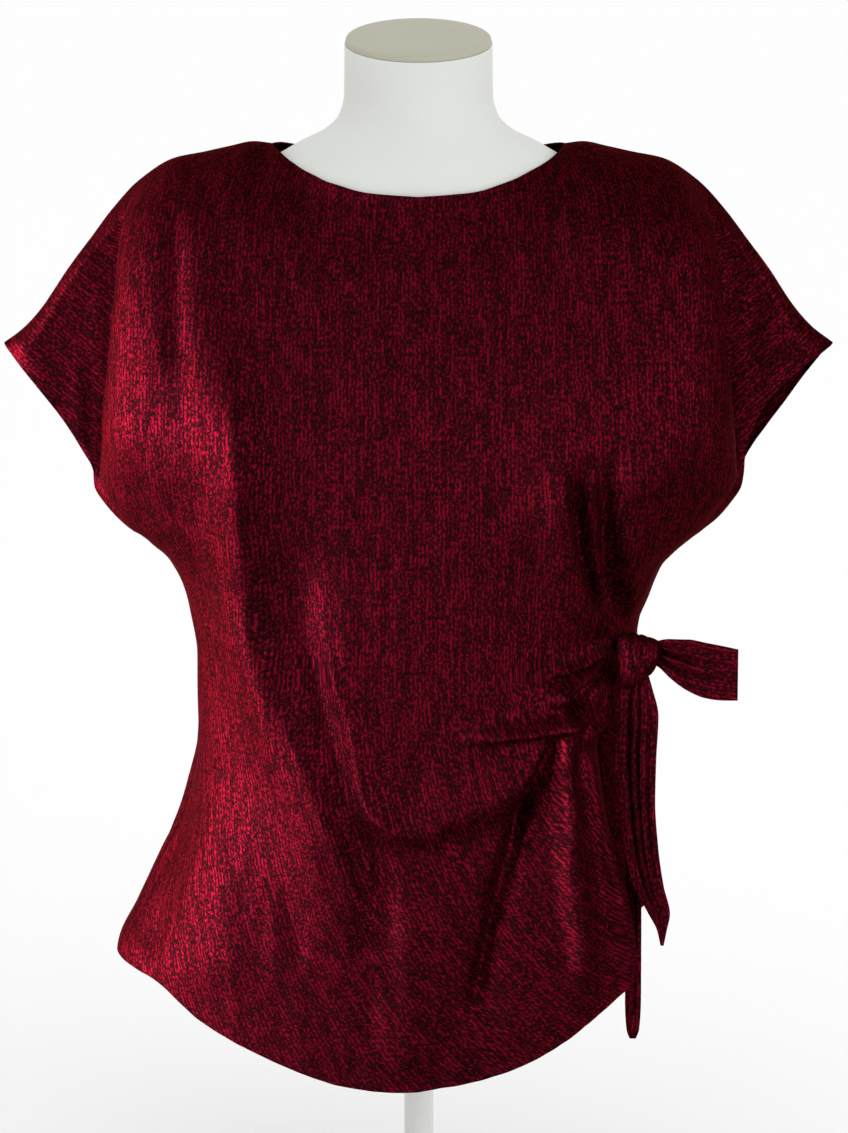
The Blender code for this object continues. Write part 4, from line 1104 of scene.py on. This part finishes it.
class TOP_OT_stage(bpy.types.Operator):
    """Pale floor, soft lights and the camera"""

    bl_idname = "top.stage"
    bl_label = "Stage"

    def execute(self, context):
        settings = context.scene.top_stage
        self.floor(settings)
        # Strong soft lights bring out the dark cloth, and would burn out the white form
        for name, share, size, place, pieces in CLOTH_LIGHTS:
            light = self.light(name, share * settings.key, size, place, CLOTH_AIM)
            lit = bpy.data.collections.new(name + "_pieces")
            for piece in pieces:
                lit.objects.link(bpy.data.objects[piece])
            light.light_linking.receiver_collection = lit
        self.light("room_soft", settings.fill, *ROOM_LIGHT)
        world = bpy.data.worlds.new("soft_room")
        world.use_nodes = True
        room = world.node_tree.nodes["Background"]
        room.inputs["Color"].default_value = (1.0, 1.0, 1.0, 1.0)
        room.inputs["Strength"].default_value = settings.sky
        context.scene.world = world
        context.scene.view_settings.view_transform = "Standard"
        camera = new_object("camera", bpy.data.cameras.new("camera"))
        camera.data.lens = CAMERA_LENS
        back = np.array([0.0, -math.cos(CAMERA_DROP), math.sin(CAMERA_DROP)])
        camera.location = np.array(CAMERA_TARGET) + CAMERA_DISTANCE * back
        camera.rotation_euler = (math.pi / 2 - CAMERA_DROP, 0.0, 0.0)
        context.scene.camera = camera
        return {"FINISHED"}

    def floor(self, settings):
        """A wide flat square at the height that the stand rests on."""
        half = FLOOR_HALF
        mesh = bpy.data.meshes.new("floor")
        corner = [(-half, -half, 0.0), (half, -half, 0.0), (half, half, 0.0), (-half, half, 0.0)]
        mesh.from_pydata(corner, [], [(0, 1, 2, 3)])
        floor = new_object("floor", mesh)
        # Matte painted board: plain and pale
        mesh.materials.append(moulded_plastic("matte_painted_floor", settings.floor, 0.9, 60.0, 0.0, 0.995))

    def light(self, name, power, size, place, target):
        lamp = bpy.data.lights.new(name, "AREA")
        lamp.energy, lamp.size = power, size
        obj = new_object(name, lamp)
        obj.location = place
        aim = np.array(target) - np.array(place)
        flat = math.hypot(aim[0], aim[1])
        obj.rotation_euler = (math.atan2(flat, -aim[2]), 0.0, math.atan2(aim[1], aim[0]) - math.pi / 2)
        return obj


class TOP_PT_panel(bpy.types.Panel):
    """Lists the pieces and their settings"""

    bl_idname = "TOP_PT_panel"
    bl_label = "Tie waist top"
    bl_space_type = "VIEW_3D"
    bl_region_type = "UI"
    bl_category = "Tie Top"

    def draw(self, context):
        for group in ("top_cloth", "top_form", "top_stage"):
            box = self.layout.box()
            settings = getattr(context.scene, group)
            for name in settings.__annotations__:
                box.prop(settings, name)
        for operator in OPERATORS:
            self.layout.operator(operator.bl_idname)


OPERATORS = (TOP_OT_front, TOP_OT_back, TOP_OT_ties, TOP_OT_form, TOP_OT_stand, TOP_OT_stage)
SETTINGS = {"top_cloth": ClothSettings, "top_form": FormSettings, "top_stage": StageSettings}


def register():
    for cls in (*SETTINGS.values(), *OPERATORS, TOP_PT_panel):
        bpy.utils.register_class(cls)
    for name, cls in SETTINGS.items():
        setattr(bpy.types.Scene, name, PointerProperty(type=cls))


def unregister():
    for name in SETTINGS:
        delattr(bpy.types.Scene, name)
    for cls in reversed((*SETTINGS.values(), *OPERATORS, TOP_PT_panel)):
        bpy.utils.unregister_class(cls)


def main():
    register()
    bpy.ops.top.front()
    bpy.ops.top.back()
    bpy.ops.top.ties()
    bpy.ops.top.form()
    bpy.ops.top.stand()
    bpy.ops.top.stage()


if __name__ == "__main__":
    main()
